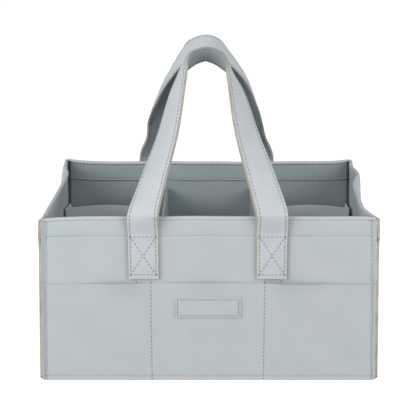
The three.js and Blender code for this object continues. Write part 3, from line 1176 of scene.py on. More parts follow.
    def lining(self, finishes: Finishes) -> Object:
        """Lining on the inside of the wall.

        Args:
            finishes: Materials of the caddy.

        Returns:
            The lining.
        """
        box, slack = self.box, self.slack
        stations = self.stations()
        hem_edge = (box.height - box.hem_depth - slack.lining_hem_drop,)
        top = box.height - box.rim_radius - slack.lining_top_drop
        z = graded(box.layer_foot, top, slack.lining_step, hem_edge)
        uneven = 1 + ripple(self.run_along(stations, z), z, self.seed + 7)
        loose = slack.lining_ripple * self.slackness(stations) * uneven
        under_hem = groove(z, hem_edge, slack.lining_groove, slack.lining_groove_width)
        seen = self.surface(stations, box.lining_end - np.maximum(loose, under_hem), z)
        hidden = self.surface(stations, np.full(len(z), box.lining_start), z)
        materials = (finishes.lining, finishes.lining, finishes.raw_edge)
        # The lining carries painted shade in the inner corners.
        return self.layer("lining_leather", "lining", Slot.LINING, seen, hidden, materials,
                          shade=self.corner_shade(stations) + 0 * z)

    def pocket_gape(self, along: np.ndarray, z: np.ndarray) -> np.ndarray:
        """How far the outer pocket stands off the wall."""
        rise = np.clip(z / self.box.pocket_height, 0, 1)
        return sum(bay.opening(along) for bay in BAYS) * rise**self.slack.gape_power

    def pocket_relief(self, along: np.ndarray, z: np.ndarray, free: np.ndarray | float) -> np.ndarray:
        """Depth of the pocket's outer face below the wall's own face, which is negative.

        Args:
            along: Distance along the wall.
            z: Height.
            free: How free the sheet is to ripple.

        Returns:
            The depth.
        """
        box, slack = self.box, self.slack
        pressed = groove(z, (box.bottom_row,)) + groove(along, box.pocket_seams)
        uneven = slack.pocket_ripple * free * (1 + ripple(along, z, self.seed + 3))
        sunk = np.clip(pressed, 0, slack.pocket_groove)
        return box.pocket_outer - self.pocket_gape(along, z) - uneven + sunk

    def pocket(self, finishes: Finishes) -> Object:
        """Outer slip pocket in three bays, which stand open a little along the top edge.

        Args:
            finishes: Materials of the caddy.

        Returns:
            The pocket.
        """
        box = self.box
        stations = self.stations()
        levels = graded(0.0, box.pocket_height, self.slack.skin_step, (box.bottom_row,))[None, :]
        droop = 1 - box.pocket_droop / box.pocket_height * stations.share[:, None] ** 2
        z = levels * droop
        along = self.run_along(stations, z)
        outer = self.surface(stations, self.pocket_relief(along, levels, self.slackness(stations)), z)
        inner = self.surface(stations, box.pocket_inner - self.pocket_gape(along, levels), z)
        materials = (finishes.outer, finishes.lining, finishes.raw_edge)
        return self.layer("outer_pocket_leather", "outer_pocket", Slot.OUTER, outer, inner, materials,
                          edges=(Place.EDGE, Place.OUTER, Place.EDGE, Place.EDGE))

    def sew(self, hem_rows: StitchRows, facing_rows: StitchRows) -> None:
        """Adds the wall's own rows of stitches.

        Args:
            hem_rows: Rows for the faint stitches along rim, hem, foot and corners.
            facing_rows: Rows for the stitches on the inside.
        """
        box, slack = self.box, self.slack
        stations = self.stations()
        run = np.flatnonzero(stations.side == 0)
        proud = slack.stitch_proud
        pocketed = self.facing.lengthwise
        for z in (box.top_row, box.hem_row):
            height = np.array([z])
            hollow = self.skin_relief(stations, height)
            hem_rows.add(self.surface(stations, hollow - proud, height)[run, 0])
            if pocketed:
                inside = box.facing_end - self.inside_relief(hollow)
                raised = ((slack.stitch_sink + 1) * self.curl_share(stations) - slack.stitch_sink) * proud
                facing_rows.add(self.surface(stations, inside + raised, height)[run, 0])
        foot = np.array([box.bottom_row])
        foot_depth = self.skin_relief(stations, foot)
        if pocketed:
            along = self.run_along(stations, foot)
            foot_depth = self.pocket_relief(along, foot, self.slackness(stations))
        hem_rows.add(self.surface(stations, foot_depth - proud, foot)[run, 0])
        for side in (-1, 1):
            seam = Stations.seam(side, 1 - box.seam_row_inset / self.middle_reach)
            z = np.linspace(box.bottom_round, box.top_row, slack.seam_steps)
            covered = pocketed & (z < box.pocket_height - box.pocket_droop)
            depth = np.where(covered, box.pocket_outer, 0.0) - proud
            hem_rows.add(self.surface(seam, depth, z)[0])

    def sew_pocket(self, rows: StitchRows) -> None:
        """Adds the rows between the pocket's bays, and those that hold the pockets inside.

        Args:
            rows: Rows that the stitches join.
        """
        box = self.box
        proud = 0.12 * MM
        foot = 2.5 * MM
        clear = 0.5 * MM
        over = 3.0 * MM
        tab_clear = 1 * MM
        steps = 30
        edge = box.pocket_height
        spans = []
        for seam in box.pocket_seams:
            spans.append((seam, foot, edge - clear, True))
            spans.append((seam, edge + clear, edge + over, False))
        for side in (-1, 1):
            spans.append((side * box.inside_seam_x, edge + tab_clear, TAB_FOOT, False))
        for x, low, high, on_pocket in spans:
            z = np.linspace(low, high, steps)
            along = np.full(len(z), x)
            depth = self.pocket_relief(along, z, 1.0) if on_pocket else 0 * z
            y = self.facing.sign * (box.half_depth - depth + proud)
            rows.add(np.column_stack([along, y, z]))


def rounded_outline(half_x: float, half_y: float, radius: float, inset: float) -> np.ndarray:
    """Rounded rectangle in the plane.

    Args:
        half_x: Half width.
        half_y: Half height.
        radius: Corner radius.
        inset: Distance that the outline is drawn inside those sizes.

    Returns:
        Points round the outline, the same number for every inset.
    """
    bend = max(radius - inset, SMALLEST_BEND)
    points = []
    for quarter in range(4):
        for angle in np.linspace(0, math.pi / 2, QUARTER_POINTS) + quarter * math.pi / 2:
            sx = 1 if quarter in (0, 3) else -1
            sy = 1 if quarter in (0, 1) else -1
            points.append((sx * (half_x - inset - bend) + bend * math.cos(angle),
                           sy * (half_y - inset - bend) + bend * math.sin(angle)))
    return np.array(points)


def plate(name: str, rings: list[np.ndarray], material: Material) -> Object:
    """Closed piece over a stack of outlines, with flat ends.

    Args:
        name: Piece name.
        rings: Outlines of equal length, in order.
        material: Finish of the whole piece.

    Returns:
        The mesh object.
    """
    count = len(rings[0])
    faces = [(list(range(count))[::-1], 0)]
    for level in range(len(rings) - 1):
        low, high = level * count, (level + 1) * count
        for k in range(count):
            after = (k + 1) % count
            faces.append(([low + k, low + after, high + after, high + k], 0))
    last = (len(rings) - 1) * count
    faces.append(([last + k for k in range(count)], 0))
    points = np.concatenate(rings)
    made = mesh_object(name, points, faces, [material])
    spans = np.ptp(points, axis=0)
    axes = np.argsort(spans)[::-1][:2]
    lay_uv(made, points[:, np.sort(axes)])
    return made


@dataclass(frozen=True)
class LabelPatch:
    """Bare label patch sewn to the middle bay of the front pocket."""

    half_width: float = 37.0 * MM
    half_height: float = 12.2 * MM
    thickness: float = 1.7 * MM
    corner: float = 1.6 * MM
    stitch_inset: float = 2.4 * MM
    stitch_hollow: float = 0.35 * MM
    stitch_drop: float = 0.1 * MM
    edge_drop: float = 0.6 * MM
    edge_run: float = 0.5 * MM
    border: float = 1.5 * MM
    field_inset: float = 3.3 * MM
    middle_inset: float = 4.2 * MM
    middle_rise: float = 0.1 * MM
    centre_x: float = -0.8 * MM
    centre_z: float = 90.0 * MM
    back_y: float = -126.3 * MM

    def ring(self, wall: Wall, inset: float, height: float) -> np.ndarray:
        """Outline on the wall's pocket, at an inset and a height over it.

        Args:
            wall: The wall whose pocket carries the patch.
            inset: Distance inside the patch's edge.
            height: Height over the pocket.

        Returns:
            Points round the outline.
        """
        flat = rounded_outline(self.half_width, self.half_height, self.corner, inset)
        x = self.centre_x + flat[:, 0]
        z = self.centre_z + flat[:, 1]
        return np.stack([x, self.back_y - wall.pocket_gape(x, z) - height, z], axis=-1)

    def build(self, wall: Wall, finishes: Finishes, rows: StitchRows) -> Object:
        """Makes the patch with a pressed stitch line and adds its stitches.

        Args:
            wall: The wall whose pocket carries the patch.
            finishes: Materials of the caddy.
            rows: Rows that the stitches join.

        Returns:
            The patch.
        """
        full = self.thickness
        profile = ((0.0, 0.0), (0.0, full - self.edge_drop), (self.edge_run, full), (self.border, full),
                   (self.stitch_inset, full - self.stitch_hollow), (self.field_inset, full),
                   (self.middle_inset, full + self.middle_rise))
        made = plate("label_patch_leather", [self.ring(wall, *step) for step in profile], finishes.label)
        row = self.ring(wall, self.stitch_inset, full - self.stitch_drop)
        rows.add(np.concatenate([row, row[:1]]))
        return dress(made, "caddy", Slot.LABEL, "label_patch")


@dataclass(frozen=True)
class Base:
    """Bottom of the caddy: skin tray and padded lining over the board."""

    edge_height: float = 5.0 * MM
    skin: float = 0.9 * MM
    gap: float = 0.3 * MM
    lining_low: float = 3.45 * MM
    lining_high: float = 4.1 * MM
    lining_round: tuple[float, float] = (0.5 * MM, 0.3 * MM)
    foot_round: float = 0.8 * MM
    corner: float = 8.0 * MM

    def rings(self, box: BoxSizes, profile: tuple) -> list[np.ndarray]:
        """Stack of outlines.

        Args:
            box: Sizes of the box.
            profile: Pairs of inset and height.

        Returns:
            One ring for each pair.
        """
        half_x = float(box.half_width(np.array(self.edge_height))) - self.skin - self.gap
        half_y = box.half_depth - self.skin - self.gap
        rings = []
        for inset, z in profile:
            flat = rounded_outline(half_x, half_y, self.corner, inset)
            rings.append(box.splayed(np.column_stack([flat, np.full(len(flat), z)])))
        return rings

    def build(self, box: BoxSizes, finishes: Finishes) -> None:
        """Makes the skin tray and the lining.

        Args:
            box: Sizes of the box.
            finishes: Materials of the caddy.
        """
        wall = self.skin
        tray = ((wall, wall), (wall, self.edge_height), (0.0, self.edge_height),
                (0.0, self.foot_round), (self.foot_round, 0.0))
        skin = plate("base_skin_leather", self.rings(box, tray), finishes.outer)
        dress(skin, "caddy", Slot.OUTER, "base_skin")
        fit = wall + self.gap
        run, drop = self.lining_round
        high = self.lining_high
        pad = ((fit, self.lining_low), (fit, high - drop), (fit + run, high))
        lining = plate("base_lining_leather", self.rings(box, pad), finishes.lining)
        dress(lining, "caddy", Slot.LINING, "base_lining")


def rounded_path(corners: list[tuple[float, float]], radius: float,
                 step: float) -> tuple[np.ndarray, np.ndarray]:
    """Plan path through square corners rounded with arcs.

    Args:
        corners: Corner points in order.
        radius: Radius of the arcs.
        step: Spacing along the straight stretches.

    Returns:
        Points of the path and their left-hand normals.
    """
    plan = np.array(corners)
    heads = np.diff(plan, axis=0)
    lengths = np.linalg.norm(heads, axis=1)
    heads = heads / lengths[:, None]
    points, normals = [], []
    for k, head in enumerate(heads):
        left = np.array([-head[1], head[0]])
        start = radius if k > 0 else 0.0
        stop = lengths[k] - (radius if k < len(heads) - 1 else 0.0)
        for place in np.linspace(start, stop, max(int((stop - start) / step), 1) + 1):
            points.append(plan[k] + head * place)
            normals.append(left)
        if k < len(heads) - 1:
            after = heads[k + 1]
            side = math.copysign(1, head[0] * after[1] - head[1] * after[0])
            centre = plan[k + 1] - head * radius + left * side * radius
            for turn in (0.25, 0.5, 0.75):
                angle = side * turn * math.pi / 2
                cos, sin = math.cos(angle), math.sin(angle)
                spin = np.array([[cos, -sin], [sin, cos]])
                points.append(centre - spin @ left * side * radius)
                normals.append(spin @ left)
    return np.array(points), np.array(normals)


@dataclass(frozen=True)
class InnerPocket:
    """Box pocket inside a long wall: sewn flange, gusset, arched face, gusset, sewn flange."""

    side_x: int
    side_y: int
    inner_x: float = 84.5 * MM
    outer_x: float = 179.6 * MM
    reach_out: float = 0.0
    wall_y: float = 120.45 * MM
    depth: float = 24.0 * MM
    flange: float = 6.0 * MM
    bend: float = 2.0 * MM
    half: float = 0.75 * MM
    flange_drop: float = 14.0 * MM
    foot: float = 4.5 * MM
    corner_z: float = 140.0 * MM
    arch: float = 6.0 * MM
    slack: float = 1.2 * MM
    slack_rise: float = 0.75
    face_power: int = 6
    drop_run: float = 3 * MM
    flange_lean: float = 0.4
    step: float = 4 * MM
    level_count: int = 24
    level_power: float = 0.9
    row_start: float = 4 * MM

    @property
    def name(self) -> str:
        """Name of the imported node.

        Returns:
            The name, by end and side.
        """
        end = "front" if self.side_y < 0 else "back"
        side = "left" if self.side_x < 0 else "right"
        return f"{end}_{side}_inner_pocket"

    def build(self, finishes: Finishes, rows: StitchRows) -> Object:
        """Makes the pocket and adds the rows that sew it to the wall.

        Args:
            finishes: Materials of the caddy.
            rows: Rows that the stitches join.

        Returns:
            The pocket.
        """
        inner, outer, wall_y = self.inner_x, self.outer_x, self.wall_y
        face_y = wall_y - self.depth
        corners = [(inner - self.flange, wall_y), (inner, wall_y), (inner, face_y), (outer, face_y),
                   (outer, wall_y), (outer - self.flange, wall_y)]
        plan, normals = rounded_path(corners, self.bend, self.step)
        x, y = plan.T
        share = np.clip((2 * x - inner - outer) / (outer - inner), -1, 1)
        on_face = np.clip((wall_y - self.half - y) / self.depth, 0, 1) ** self.face_power
        top = self.corner_z + self.arch * (1 - share**2) * on_face
        on_wall = (y > wall_y - self.half) & (x > inner + self.bend)
        top = top - self.flange_drop * on_wall * eased((outer - x) / self.drop_run)
        levels = np.linspace(0, 1, self.level_count)[None, :] ** self.level_power
        z = self.foot + (top[:, None] - self.foot) * levels
        arched = ((1 - share**2) * on_face)[:, None]
        puff = self.slack * arched * np.sin(math.pi * levels * self.slack_rise)
        lean = self.flange_lean + (1 - self.flange_lean) * on_face
        outward = (self.reach_out * np.clip(share, 0, 1) ** 2 * lean)[:, None] * levels**0.5
        faces = []
        for side in (1, -1):
            across = plan + normals * side * self.half
            place = (self.side_x * (across[:, :1] + outward), self.side_y * (across[:, 1:] - puff), z)
            faces.append(np.stack(place, axis=-1))
        made = Sheet(f"{self.name}_leather", faces[1], faces[0],
                     (finishes.inner_pocket, finishes.inner_pocket, finishes.pocket_edge)).build()
        heights = (self.foot + self.row_start, self.corner_z - self.flange_drop)
        for edge in (inner, outer):
            row_x = self.side_x * (edge - self.flange / 2)
            row_y = self.side_y * (wall_y - self.half)
            rows.add(np.array([(row_x, row_y, height) for height in heights]))
        return dress(made, "caddy", Slot.LINING, self.name)


@dataclass(frozen=True)
class Divider:
    """Lift-out divider: a cover folded over a board, its ends bent into flanges."""

    side: str
    centre_x: float = 55.5 * MM
    half: float = 1.9 * MM
    ply: float = 0.8 * MM
    flange: float = 15.0 * MM
    bend: float = 1.2 * MM
    flange_y: float = 118.5 * MM
    foot: float = 4.4 * MM
    top: float = 163.0 * MM
    top_row_drop: float = 5.0 * MM
    row_groove: float = 0.3 * MM
    row_sink: float = 0.15 * MM
    flat_share: float = 0.9
    plan_step: float = 6 * MM
    rise_step: float = 8 * MM
    fold_steps: int = 9

    @property
    def sign(self) -> int:
        """Which way along X the divider stands."""
        return 1 if self.side == "right" else -1

    @property
    def row_z(self) -> float:
        """Height of the stitched row under the fold."""
        return self.top - self.top_row_drop

    def plan(self) -> tuple[np.ndarray, np.ndarray]:
        """Plan path of the divider's middle and its normals.

        Returns:
            Points of the path and their left-hand normals.
        """
        end_y = self.flange_y - self.half
        tip = self.centre_x + self.half + self.flange
        corners = [(tip, -end_y), (self.centre_x, -end_y), (self.centre_x, end_y), (tip, end_y)]
        return rounded_path(corners, self.half + self.bend, self.plan_step)

    def cover_face(self, reach: float) -> tuple[np.ndarray, np.ndarray]:
        """Section of one face of the cover.

        Args:
            reach: Distance of the face from the divider's middle.

        Returns:
            Distance across and height of each point, up one side and down the other.
        """
        middle = self.top - self.half
        rise = graded(self.foot, middle, self.rise_step, (self.row_z,))
        angles = np.linspace(0, math.pi, self.fold_steps)[1:-1]
        across = np.concatenate([reach + 0 * rise, reach * np.cos(angles), -reach + 0 * rise])
        z = np.concatenate([rise, middle + reach * np.sin(angles), rise[::-1]])
        return across, z

    def build(self, finishes: Finishes, rows: StitchRows) -> Object:
        """Makes the cover and adds its stitches.

        Args:
            finishes: Materials of the caddy.
            rows: Rows that the stitches join.

        Returns:
            The cover.
        """
        plan, normals = self.plan()
        faces = []
        for reach in (self.half, self.half - self.ply):
            across, z = self.cover_face(reach)
            if reach == self.half:
                pressed = groove(z, (self.row_z,), self.row_groove)
                across = across - np.sign(across) * pressed * (np.abs(across) > self.flat_share * reach)
            x = plan[:, :1] + normals[:, :1] * across
            y = plan[:, 1:] + normals[:, 1:] * across
            faces.append(np.stack([self.sign * x, y, z + 0 * x], axis=-1))
        made = Sheet(f"{self.side}_divider_leather", faces[0], faces[1],
                     (finishes.lining, finishes.lining, finishes.raw_edge)).build()
        for side in (-1, 1):
            seat = plan + normals * side * (self.half - self.row_sink)
            rows.add(np.column_stack([self.sign * seat[:, 0], seat[:, 1], np.full(len(seat), self.row_z)]))
        return dress(made, f"{self.side}_divider", Slot.LINING, f"{self.side}_divider_cover")


@dataclass(frozen=True)
class Stand:
    """How a handle stands: its crown, its twist and its legs as shares of spread and rise.

    The left and the right leg each twist over a span of their length, and the outer edge turns
    over before the inner edge by the slant. The strap shifts sideways from base to crown. Its
    outer edge may rise to a peak at the crown and sag on both sides of it.
    """

    crown_z: float
    crown_inset: float
    lean: float
    spans: tuple[tuple[float, float], tuple[float, float]]
    slants: tuple[float, float]
    base_shift: float
    crown_shift: float
    legs: tuple[tuple[float, float], ...]
    lag: float = 1.0
    peak: float = 0.0
    peak_run: float = 9 * MM
    sag: float = 0.0
    sag_place: float = 26 * MM
    sag_run: float = 12 * MM
    crease_start: float = 0.5
    crease_fade: float = 0.25

    def crease(self, beside: np.ndarray, share: np.ndarray) -> np.ndarray:
        """Rise of the strap's outer edge near the crown, where it is creased to a point.

        Args:
            beside: Distance to the side of the crown.
            share: Part of the way from the bend to the crown.

        Returns:
            The rise, which is negative on the flanks of the crease.
        """
        point = self.peak * np.exp(-beside / self.peak_run)
        flank = self.sag * np.exp(-(((beside - self.sag_place) / self.sag_run) ** 2))
        return (point - flank) * eased((share - self.crease_start) / self.crease_fade)

    def twist(self, side: int, share: np.ndarray, place: float) -> np.ndarray:
        """Angle by which a leg has turned over.

        Args:
            side: -1 for the left leg, 1 for the right leg.
            share: Part of the way from the bend to the crown.
            place: Place across the strap, from -1 at its outer edge to 1 at its inner edge.

        Returns:
            The angle at each share.
        """
        leg = (side + 1) // 2
        start, stop = self.spans[leg]
        turned = share - self.slants[leg] * place * np.sin(math.pi * share)
        return math.pi / 2 * eased((turned - start) / (stop - start))


FRONT_STAND = Stand(
    crown_z=359.5 * MM,
    crown_inset=18 * MM,
    lean=math.radians(41.3),
    spans=((-0.34, 1.2), (-0.085, 1.03)),
    slants=(0.21, 0.0),
    base_shift=-1.4 * MM,
    crown_shift=-3.8 * MM,
    legs=((1, 0), (0.89, 0.17), (0.643, 0.5), (0.46, 0.82), (0.325, 0.955), (0, 1)),
    peak=3 * MM,
    sag=5.5 * MM,
)
BACK_STAND = Stand(
    crown_z=365.5 * MM,
    crown_inset=20 * MM,
    lean=math.radians(39.9),
    spans=((0.46, 0.71), (0.159, 0.927)),
    slants=(0.4, 0.45),
    base_shift=-2.9 * MM,
    crown_shift=-3.5 * MM,
    legs=((1, 0), (0.86, 0.17), (0.782, 0.5), (0.617, 0.78), (0.335, 0.94), (0, 1)),
    lag=1.23,
)


def smooth_curve(points: np.ndarray, shares: np.ndarray) -> np.ndarray:
    """Centripetal Catmull-Rom curve through points.

    Args:
        points: Points that the curve passes.
        shares: Places from 0 to 1, each stretch between points taking an equal part.

    Returns:
        Points of the curve.
    """
    ends = np.vstack([2 * points[0] - points[1], points, 2 * points[-1] - points[-2]])
    made = []
    for share in shares:
        place = share * (len(points) - 1)
        k = min(int(place), len(points) - 2)
        t = place - k
        p0, p1, p2, p3 = ends[k : k + 4]
        d0, d1, d2 = (np.linalg.norm(b - a) ** 0.5 for a, b in ((p0, p1), (p1, p2), (p2, p3)))
        leave = ((p1 - p0) / d0 - (p2 - p0) / (d0 + d1) + (p2 - p1) / d1) * d1
        arrive = ((p2 - p1) / d1 - (p3 - p1) / (d1 + d2) + (p3 - p2) / d2) * d1
        square = -3 * p1 + 3 * p2 - 2 * leave - arrive
        cube = 2 * p1 - 2 * p2 + leave + arrive
        made.append(p1 + leave * t + square * t**2 + cube * t**3)
    return np.array(made)


@dataclass(frozen=True)
class StrapHandle:
    """A strap sewn to a long wall at both ends, twisted along its legs to lie over at the crown."""

    end: str
    sign_y: int
    stand: Stand
    width: float = 35.0 * MM
    half: float = 1.45 * MM
    ply_offset: float = 1.7 * MM
    centre_x: float = 71.0 * MM
    middle_y: float = 126.75 * MM
    tab_foot: float = TAB_FOOT
    fold_z: float = 175.0 * MM
    bend_z: float = 200.0 * MM
    turn_run: float = 24.0 * MM
    stand_off: float = 4.5 * MM
    stitch_inset: float = 2.6 * MM
    box_low: float = 130.0 * MM
    box_high: float = 174.6 * MM
    join: float = 1 * MM
    free_power: float = 1.5
    crease_power: float = 1.5
    edge_share: float = 0.85
    edge_reach: float = 0.1 * MM
    row_groove: float = 0.3 * MM
    crown: float = 0.25 * MM
    edge_proud: float = 0.05 * MM
    box_proud: float = 0.2 * MM
    tab_step: float = 3 * MM
    across_step: float = 4 * MM
    steps: int = 96
    fold_steps: int = 6

    def middle_line(self) -> np.ndarray:
        """Middle of the right leg above its tab, for the back wall and without its sideways shift.

        Returns:
            Points from the tab's upper edge to the crown.
        """
        stand = self.stand
        rise = stand.crown_z - self.bend_z
        travel = stand.crown_inset - self.middle_y
        spread, up = np.array(stand.legs, float).T
        legs = (self.centre_x * spread, self.middle_y + travel * up**stand.lag, self.bend_z + rise * up)
        right = np.vstack([(self.centre_x, self.middle_y, self.fold_z + self.join), np.column_stack(legs)])
        whole = np.vstack([right, right[-2::-1] * (-1, 1, 1)])
        return smooth_curve(whole, np.linspace(0, 0.5, self.steps + 1))

    def half_line(self, side: int, across: float) -> tuple[np.ndarray, np.ndarray]:
        """Line along one leg, from the tab's foot to the crown.

        Args:
            side: -1 for the left leg, 1 for the right leg.
            across: Distance from the strap's middle, toward the middle of the box.

        Returns:
            Points of the line and outward normals of the strap, on the handle's own wall.
        """
        stand = self.stand
        curve = self.middle_line()
        along = np.linspace(0, 1, len(curve))
        bend_share = 1 / len(stand.legs)
        share = np.clip((along - bend_share) / (1 - bend_share), 0, 1)
        free = np.clip(along / bend_share, 0, 1) ** self.free_power
        curve[:, 1] += self.stand_off * free * (1 - share) ** 2
        heading = np.gradient(curve, axis=0)
        heading[-1] = (-1, 0, 0)
        heading /= np.linalg.norm(heading, axis=1)[:, None]
        crown = np.array([0, math.cos(stand.lean), math.sin(stand.lean)])
        line = curve.copy()
        for step in range(self.fold_steps):
            place = across / (self.width / 2) * (step + 0.5) / self.fold_steps
            twist = stand.twist(side, share, place) * free
            toward = np.outer(np.cos(twist), (-1, 0, 0)) + np.outer(np.sin(twist), crown)
            toward -= heading * np.sum(toward * heading, axis=1)[:, None]
            toward /= np.linalg.norm(toward, axis=1)[:, None]
            line += toward * across / self.fold_steps
        outer_share = max(-across / (self.width / 2), 0.0)
        line[:, 2] += stand.crease(np.abs(line[:, 0]), share) * outer_share**self.crease_power
        forward = np.gradient(line, axis=0)
        forward[-1] = (-1, 0, 0)
        out = np.cross(toward, forward)
        out /= np.linalg.norm(out, axis=1)[:, None]
        top = curve[0, 2] - self.join
        tab_z = graded(self.tab_foot, top, self.tab_step, (self.box_low, self.box_high))
        tab = np.column_stack([np.full((len(tab_z), 2), (self.centre_x - across, self.middle_y)), tab_z])
        face = np.tile((0.0, 1.0, 0.0), (len(tab), 1))
        points = np.vstack([tab, line]) * (side, self.sign_y, 1)
        normals = np.vstack([face, out]) * (side, self.sign_y, 1)
        up = np.clip((points[:, 2] - self.bend_z) / (stand.crown_z - self.bend_z), 0, 1)
        points[:, 0] += stand.base_shift + (stand.crown_shift - stand.base_shift) * up
        return points, normals

    def seat(self, across: float, out: float) -> np.ndarray:
        """Line along the whole strap at a distance across it and a distance out of its middle.

        Args:
            across: Distance from the strap's middle, toward the middle of the box.
            out: Distance outward along the strap's normals.

        Returns:
            Points from the foot of the right tab over the crown to the foot of the left one.
        """
        right, right_out = self.half_line(1, across)
        left, left_out = self.half_line(-1, across)
        right = right + right_out * out
        left = left + left_out * out
        top = (right[-1] + left[-1]) / 2
        return np.vstack([right[:-1], [top], left[-2::-1]])

    def build(self, finishes: Finishes, rows: StitchRows, box_rows: StitchRows) -> None:
        """Makes the strap and its stitches.

        Args:
            finishes: Materials of the caddy.
            rows: Rows for the stitches along the edges.
            box_rows: Rows for the boxes and crosses on the tabs.
        """
        reach = self.width / 2
        inset = reach - self.stitch_inset
        offset = self.ply_offset / 2
        across = graded(-reach, reach, self.across_step, (-inset, inset)) * (1 - offset / reach)
        at_edge = np.abs(across) > reach - offset - self.edge_reach
        rounding = np.where(at_edge, self.edge_share, 1.0)
        thick = self.half * rounding - groove(np.abs(across), (inset - offset,), self.row_groove)
        crown = self.crown * np.cos(across / reach * math.pi / 2)
        outer = np.stack([self.seat(a - offset, t + c) for a, t, c in zip(across, thick, crown)], axis=1)
        inner = np.stack([self.seat(a + offset, c - t) for a, t, c in zip(across, thick, crown)], axis=1)
        # The inner face takes painted shade, darker on the back strap.
        inside = finishes.strap_inside if self.sign_y < 0 else finishes.back_strap_inside
        strap = Sheet(f"{self.end}_handle_strap", outer, inner,
                      (finishes.strap, inside, finishes.strap_edge)).build()
        self.sew(rows, box_rows, inset - offset)
        edge_stitches = rows.build(f"{self.end}_handle_stitches")
        tab_stitches = box_rows.build(f"{self.end}_tab_stitches")
        for made in (strap, edge_stitches, tab_stitches):
            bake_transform(made)
            LOG.info("%s: %d faces", made.name, len(made.data.polygons))
        nodes = [f"{self.end}_handle_{ply}_ply" for ply in ("outer", "inner")]
        nodes += [f"{self.end}_handle_{side}_tab_{ply}_ply"
                  for side in ("left", "right") for ply in ("outer", "inner")]
        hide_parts(*nodes)

    def sew(self, rows: StitchRows, box_rows: StitchRows, inset: float) -> None:
        """Adds the rows along both edges and the box with its cross on each tab.

        Args:
            rows: Rows for the stitches along the edges.
            box_rows: Rows for the boxes and crosses on the tabs.
            inset: Distance of the edge rows from the middle of their ply.
        """
        proud = self.half + self.edge_proud
        offset = self.ply_offset / 2
        low, high = self.box_low, self.box_high
        for across in (-inset, inset):
            line = self.seat(across - offset, proud)
            rows.add(line[line[:, 2] > low])
            inside = self.seat(across + offset, -proud)
            rows.add(inside[inside[:, 2] > self.bend_z])
        y = self.sign_y * (self.middle_y + self.half + self.box_proud)
        for side in (-1, 1):
            middle = side * (self.centre_x + offset) + self.stand.base_shift
            left, right = middle - inset, middle + inset
            for start, stop in (((left, low), (right, low)), ((left, high), (right, high)),
                                ((left, low), (right, high)), ((left, high), (right, low))):
                box_rows.add(np.array([(x, y, z) for x, z in (start, stop)]))


@dataclass(frozen=True)
class Studio:
    """Floor, soft lights and the camera at the photograph's angle."""

    camera_place: tuple[float, float, float] = (-0.001, -1.321, 0.566)
    camera_pitch: float = math.radians(16.7)
    lens: float = 97.9
    floor_size: float = 14.0
    floor_drop: float = 0.2 * MM
    floor_grey: float = 0.3
    floor_roughness: float = 0.9
    floor_glow: float = 0.32
    floor_seen: float = 0.9
    sky: float = 0.5
    key_size: float = 1.0
    key_aim: tuple[float, float, float] = (0, 0, 0.15)
    keys: tuple[tuple[str, float, tuple[float, float, float]], ...] = (
        ("left_key", 19.0, (-1.25, -0.95, 0.8)),
        ("right_key", 14.2, (1.25, -0.95, 0.8)),
    )

    def build(self) -> None:
        """Makes the whole studio."""
        self.floor()
        self.world()
        for key in self.keys:
            self.key_light(*key)
        self.camera()

    def floor(self) -> None:
        """Plain pale floor, lit from below as a light table so that it stays white to the camera."""
        half = self.floor_size / 2
        corners = np.array([(-half, -half, 0), (half, -half, 0), (half, half, 0), (-half, half, 0)])
        mesh = bpy.data.meshes.new("floor")
        mesh.from_pydata(corners.tolist(), [], [(0, 1, 2, 3)])
        made = linked("floor", mesh)
        made.location.z = -self.floor_drop
        shader = Shader("light_table")
        seen = shader.add("ShaderNodeLightPath").outputs["Is Camera Ray"]
        mesh.materials.append(shader.coat({
            "Base Color": (self.floor_grey, self.floor_grey, self.floor_grey, 1.0),
            "Roughness": self.floor_roughness,
            "Specular IOR Level": 0.0,
            "Emission Color": WHITE,
            "Emission Strength": shader.spread(seen, self.floor_glow, self.floor_seen, (0.0, 1.0)),
        }))

    def world(self) -> None:
        """Even white surroundings; the camera sees them a little brighter than they light."""
        world = bpy.data.worlds.new("studio")
        world.use_nodes = True
        bpy.context.scene.world = world
        world.node_tree.nodes.clear()
        tree = NodeTree(world.node_tree)
        light = tree.add("ShaderNodeBackground", {"Color": WHITE, "Strength": self.sky})
        seen = tree.add("ShaderNodeBackground", {"Color": WHITE})
        path = tree.add("ShaderNodeLightPath")
        choice = {0: path.outputs["Is Camera Ray"], 1: light.outputs[0], 2: seen.outputs[0]}
        mix = tree.add("ShaderNodeMixShader", choice)
        tree.add("ShaderNodeOutputWorld", {0: mix.outputs[0]})

    def key_light(self, name: str, power: float, place: tuple[float, float, float]) -> None:
        """Soft box that faces the caddy.

        Args:
            name: Name of the light.
            power: Its power in watts.
            place: Where it stands.
        """
        data = bpy.data.lights.new(name, "AREA")
        data.energy = power
        data.size = self.key_size
        made = linked(name, data)
        made.location = place
        made.rotation_euler = (Vector(place) - Vector(self.key_aim)).to_track_quat("Z", "Y").to_euler()

    def camera(self) -> None:
        """Camera fitted to the rim, foot and corners of the box."""
        data = bpy.data.cameras.new("camera")
        data.lens = self.lens
        made = linked("camera", data)
        made.location = self.camera_place
        made.rotation_euler = (math.pi / 2 - self.camera_pitch, 0, 0)
        bpy.context.scene.camera = made


def paint_frame(finishes: Finishes) -> None:
    """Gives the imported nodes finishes; only boards and fastening patches of them stay in view.

    Args:
        finishes: Materials of the caddy.
    """
    for name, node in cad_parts.items():
        finish = finishes.tape if name.endswith("_patch") else finishes.board
        node.data.materials.clear()
        node.data.materials.append(finish)


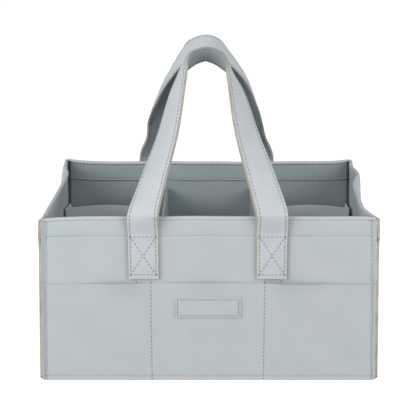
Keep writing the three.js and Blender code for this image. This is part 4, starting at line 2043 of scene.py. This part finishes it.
def main() -> None:
    """Builds every sub-assembly in order."""
    logging.basicConfig(level=logging.INFO)
    bpy.context.scene.view_settings.view_transform = "Standard"
    finishes = Finishes()
    paint_frame(finishes)
    tree = StitchTree()
    box = BoxSizes()
    walls = [
        Wall(Facing.FRONT, box, seed=3, creases=CREASES),
        Wall(Facing.BACK, box, seed=11, creases=CREASES),
        Wall(Facing.LEFT, box, seed=19, bow=6 * MM, bow_centre=0.4, flare=4 * MM, flare_centre=0.8,
             flare_width=0.16, bulge=10 * MM),
        Wall(Facing.RIGHT, box, seed=27, bow=9.5 * MM, bow_centre=-0.62, flare=8 * MM, flare_centre=0.52,
             bulge=7.5 * MM),
    ]
    body_rows = StitchRows(tree, finishes.thread, length=2.9 * MM)
    hem_rows = StitchRows(tree, finishes.hem_thread, width=0.6 * MM)
    facing_rows = StitchRows(tree, finishes.facing_thread_painted_shade, length=2.7 * MM, width=1.15 * MM)
    for wall in walls:
        wall.skin(finishes)
        wall.board(finishes)
        wall.lining(finishes)
        wall.sew(hem_rows, facing_rows)
        if wall.facing.lengthwise:
            wall.pocket(finishes)
            wall.sew_pocket(body_rows)
    Base().build(box, finishes)
    for side_y in (-1, 1):
        for side_x in (-1, 1):
            pocket = InnerPocket(side_x, side_y, reach_out=POCKET_REACH[side_x, side_y])
            pocket.build(finishes, body_rows)
    for name, rows in (("body", body_rows), ("hem", hem_rows), ("facing", facing_rows)):
        dress(rows.build(f"{name}_stitches"), "caddy", Slot.OUTER)
    label_rows = StitchRows(tree, finishes.thread, pitch=3.8 * MM, length=2.7 * MM, width=0.7 * MM)
    LabelPatch().build(walls[0], finishes, label_rows)
    dress(label_rows.build("label_stitches"), "caddy", Slot.LABEL)
    for side in ("left", "right"):
        divider_rows = StitchRows(tree, finishes.thread)
        Divider(side).build(finishes, divider_rows)
        dress(divider_rows.build(f"{side}_divider_stitches"), f"{side}_divider", Slot.LINING)
    for end, sign_y, stand in (("front", -1, FRONT_STAND), ("back", 1, BACK_STAND)):
        edge_rows = StitchRows(tree, finishes.strap_thread, width=0.7 * MM)
        StrapHandle(end, sign_y, stand).build(finishes, edge_rows, StitchRows(tree, finishes.thread))
    Studio().build()


if __name__ == "__main__":
    main()
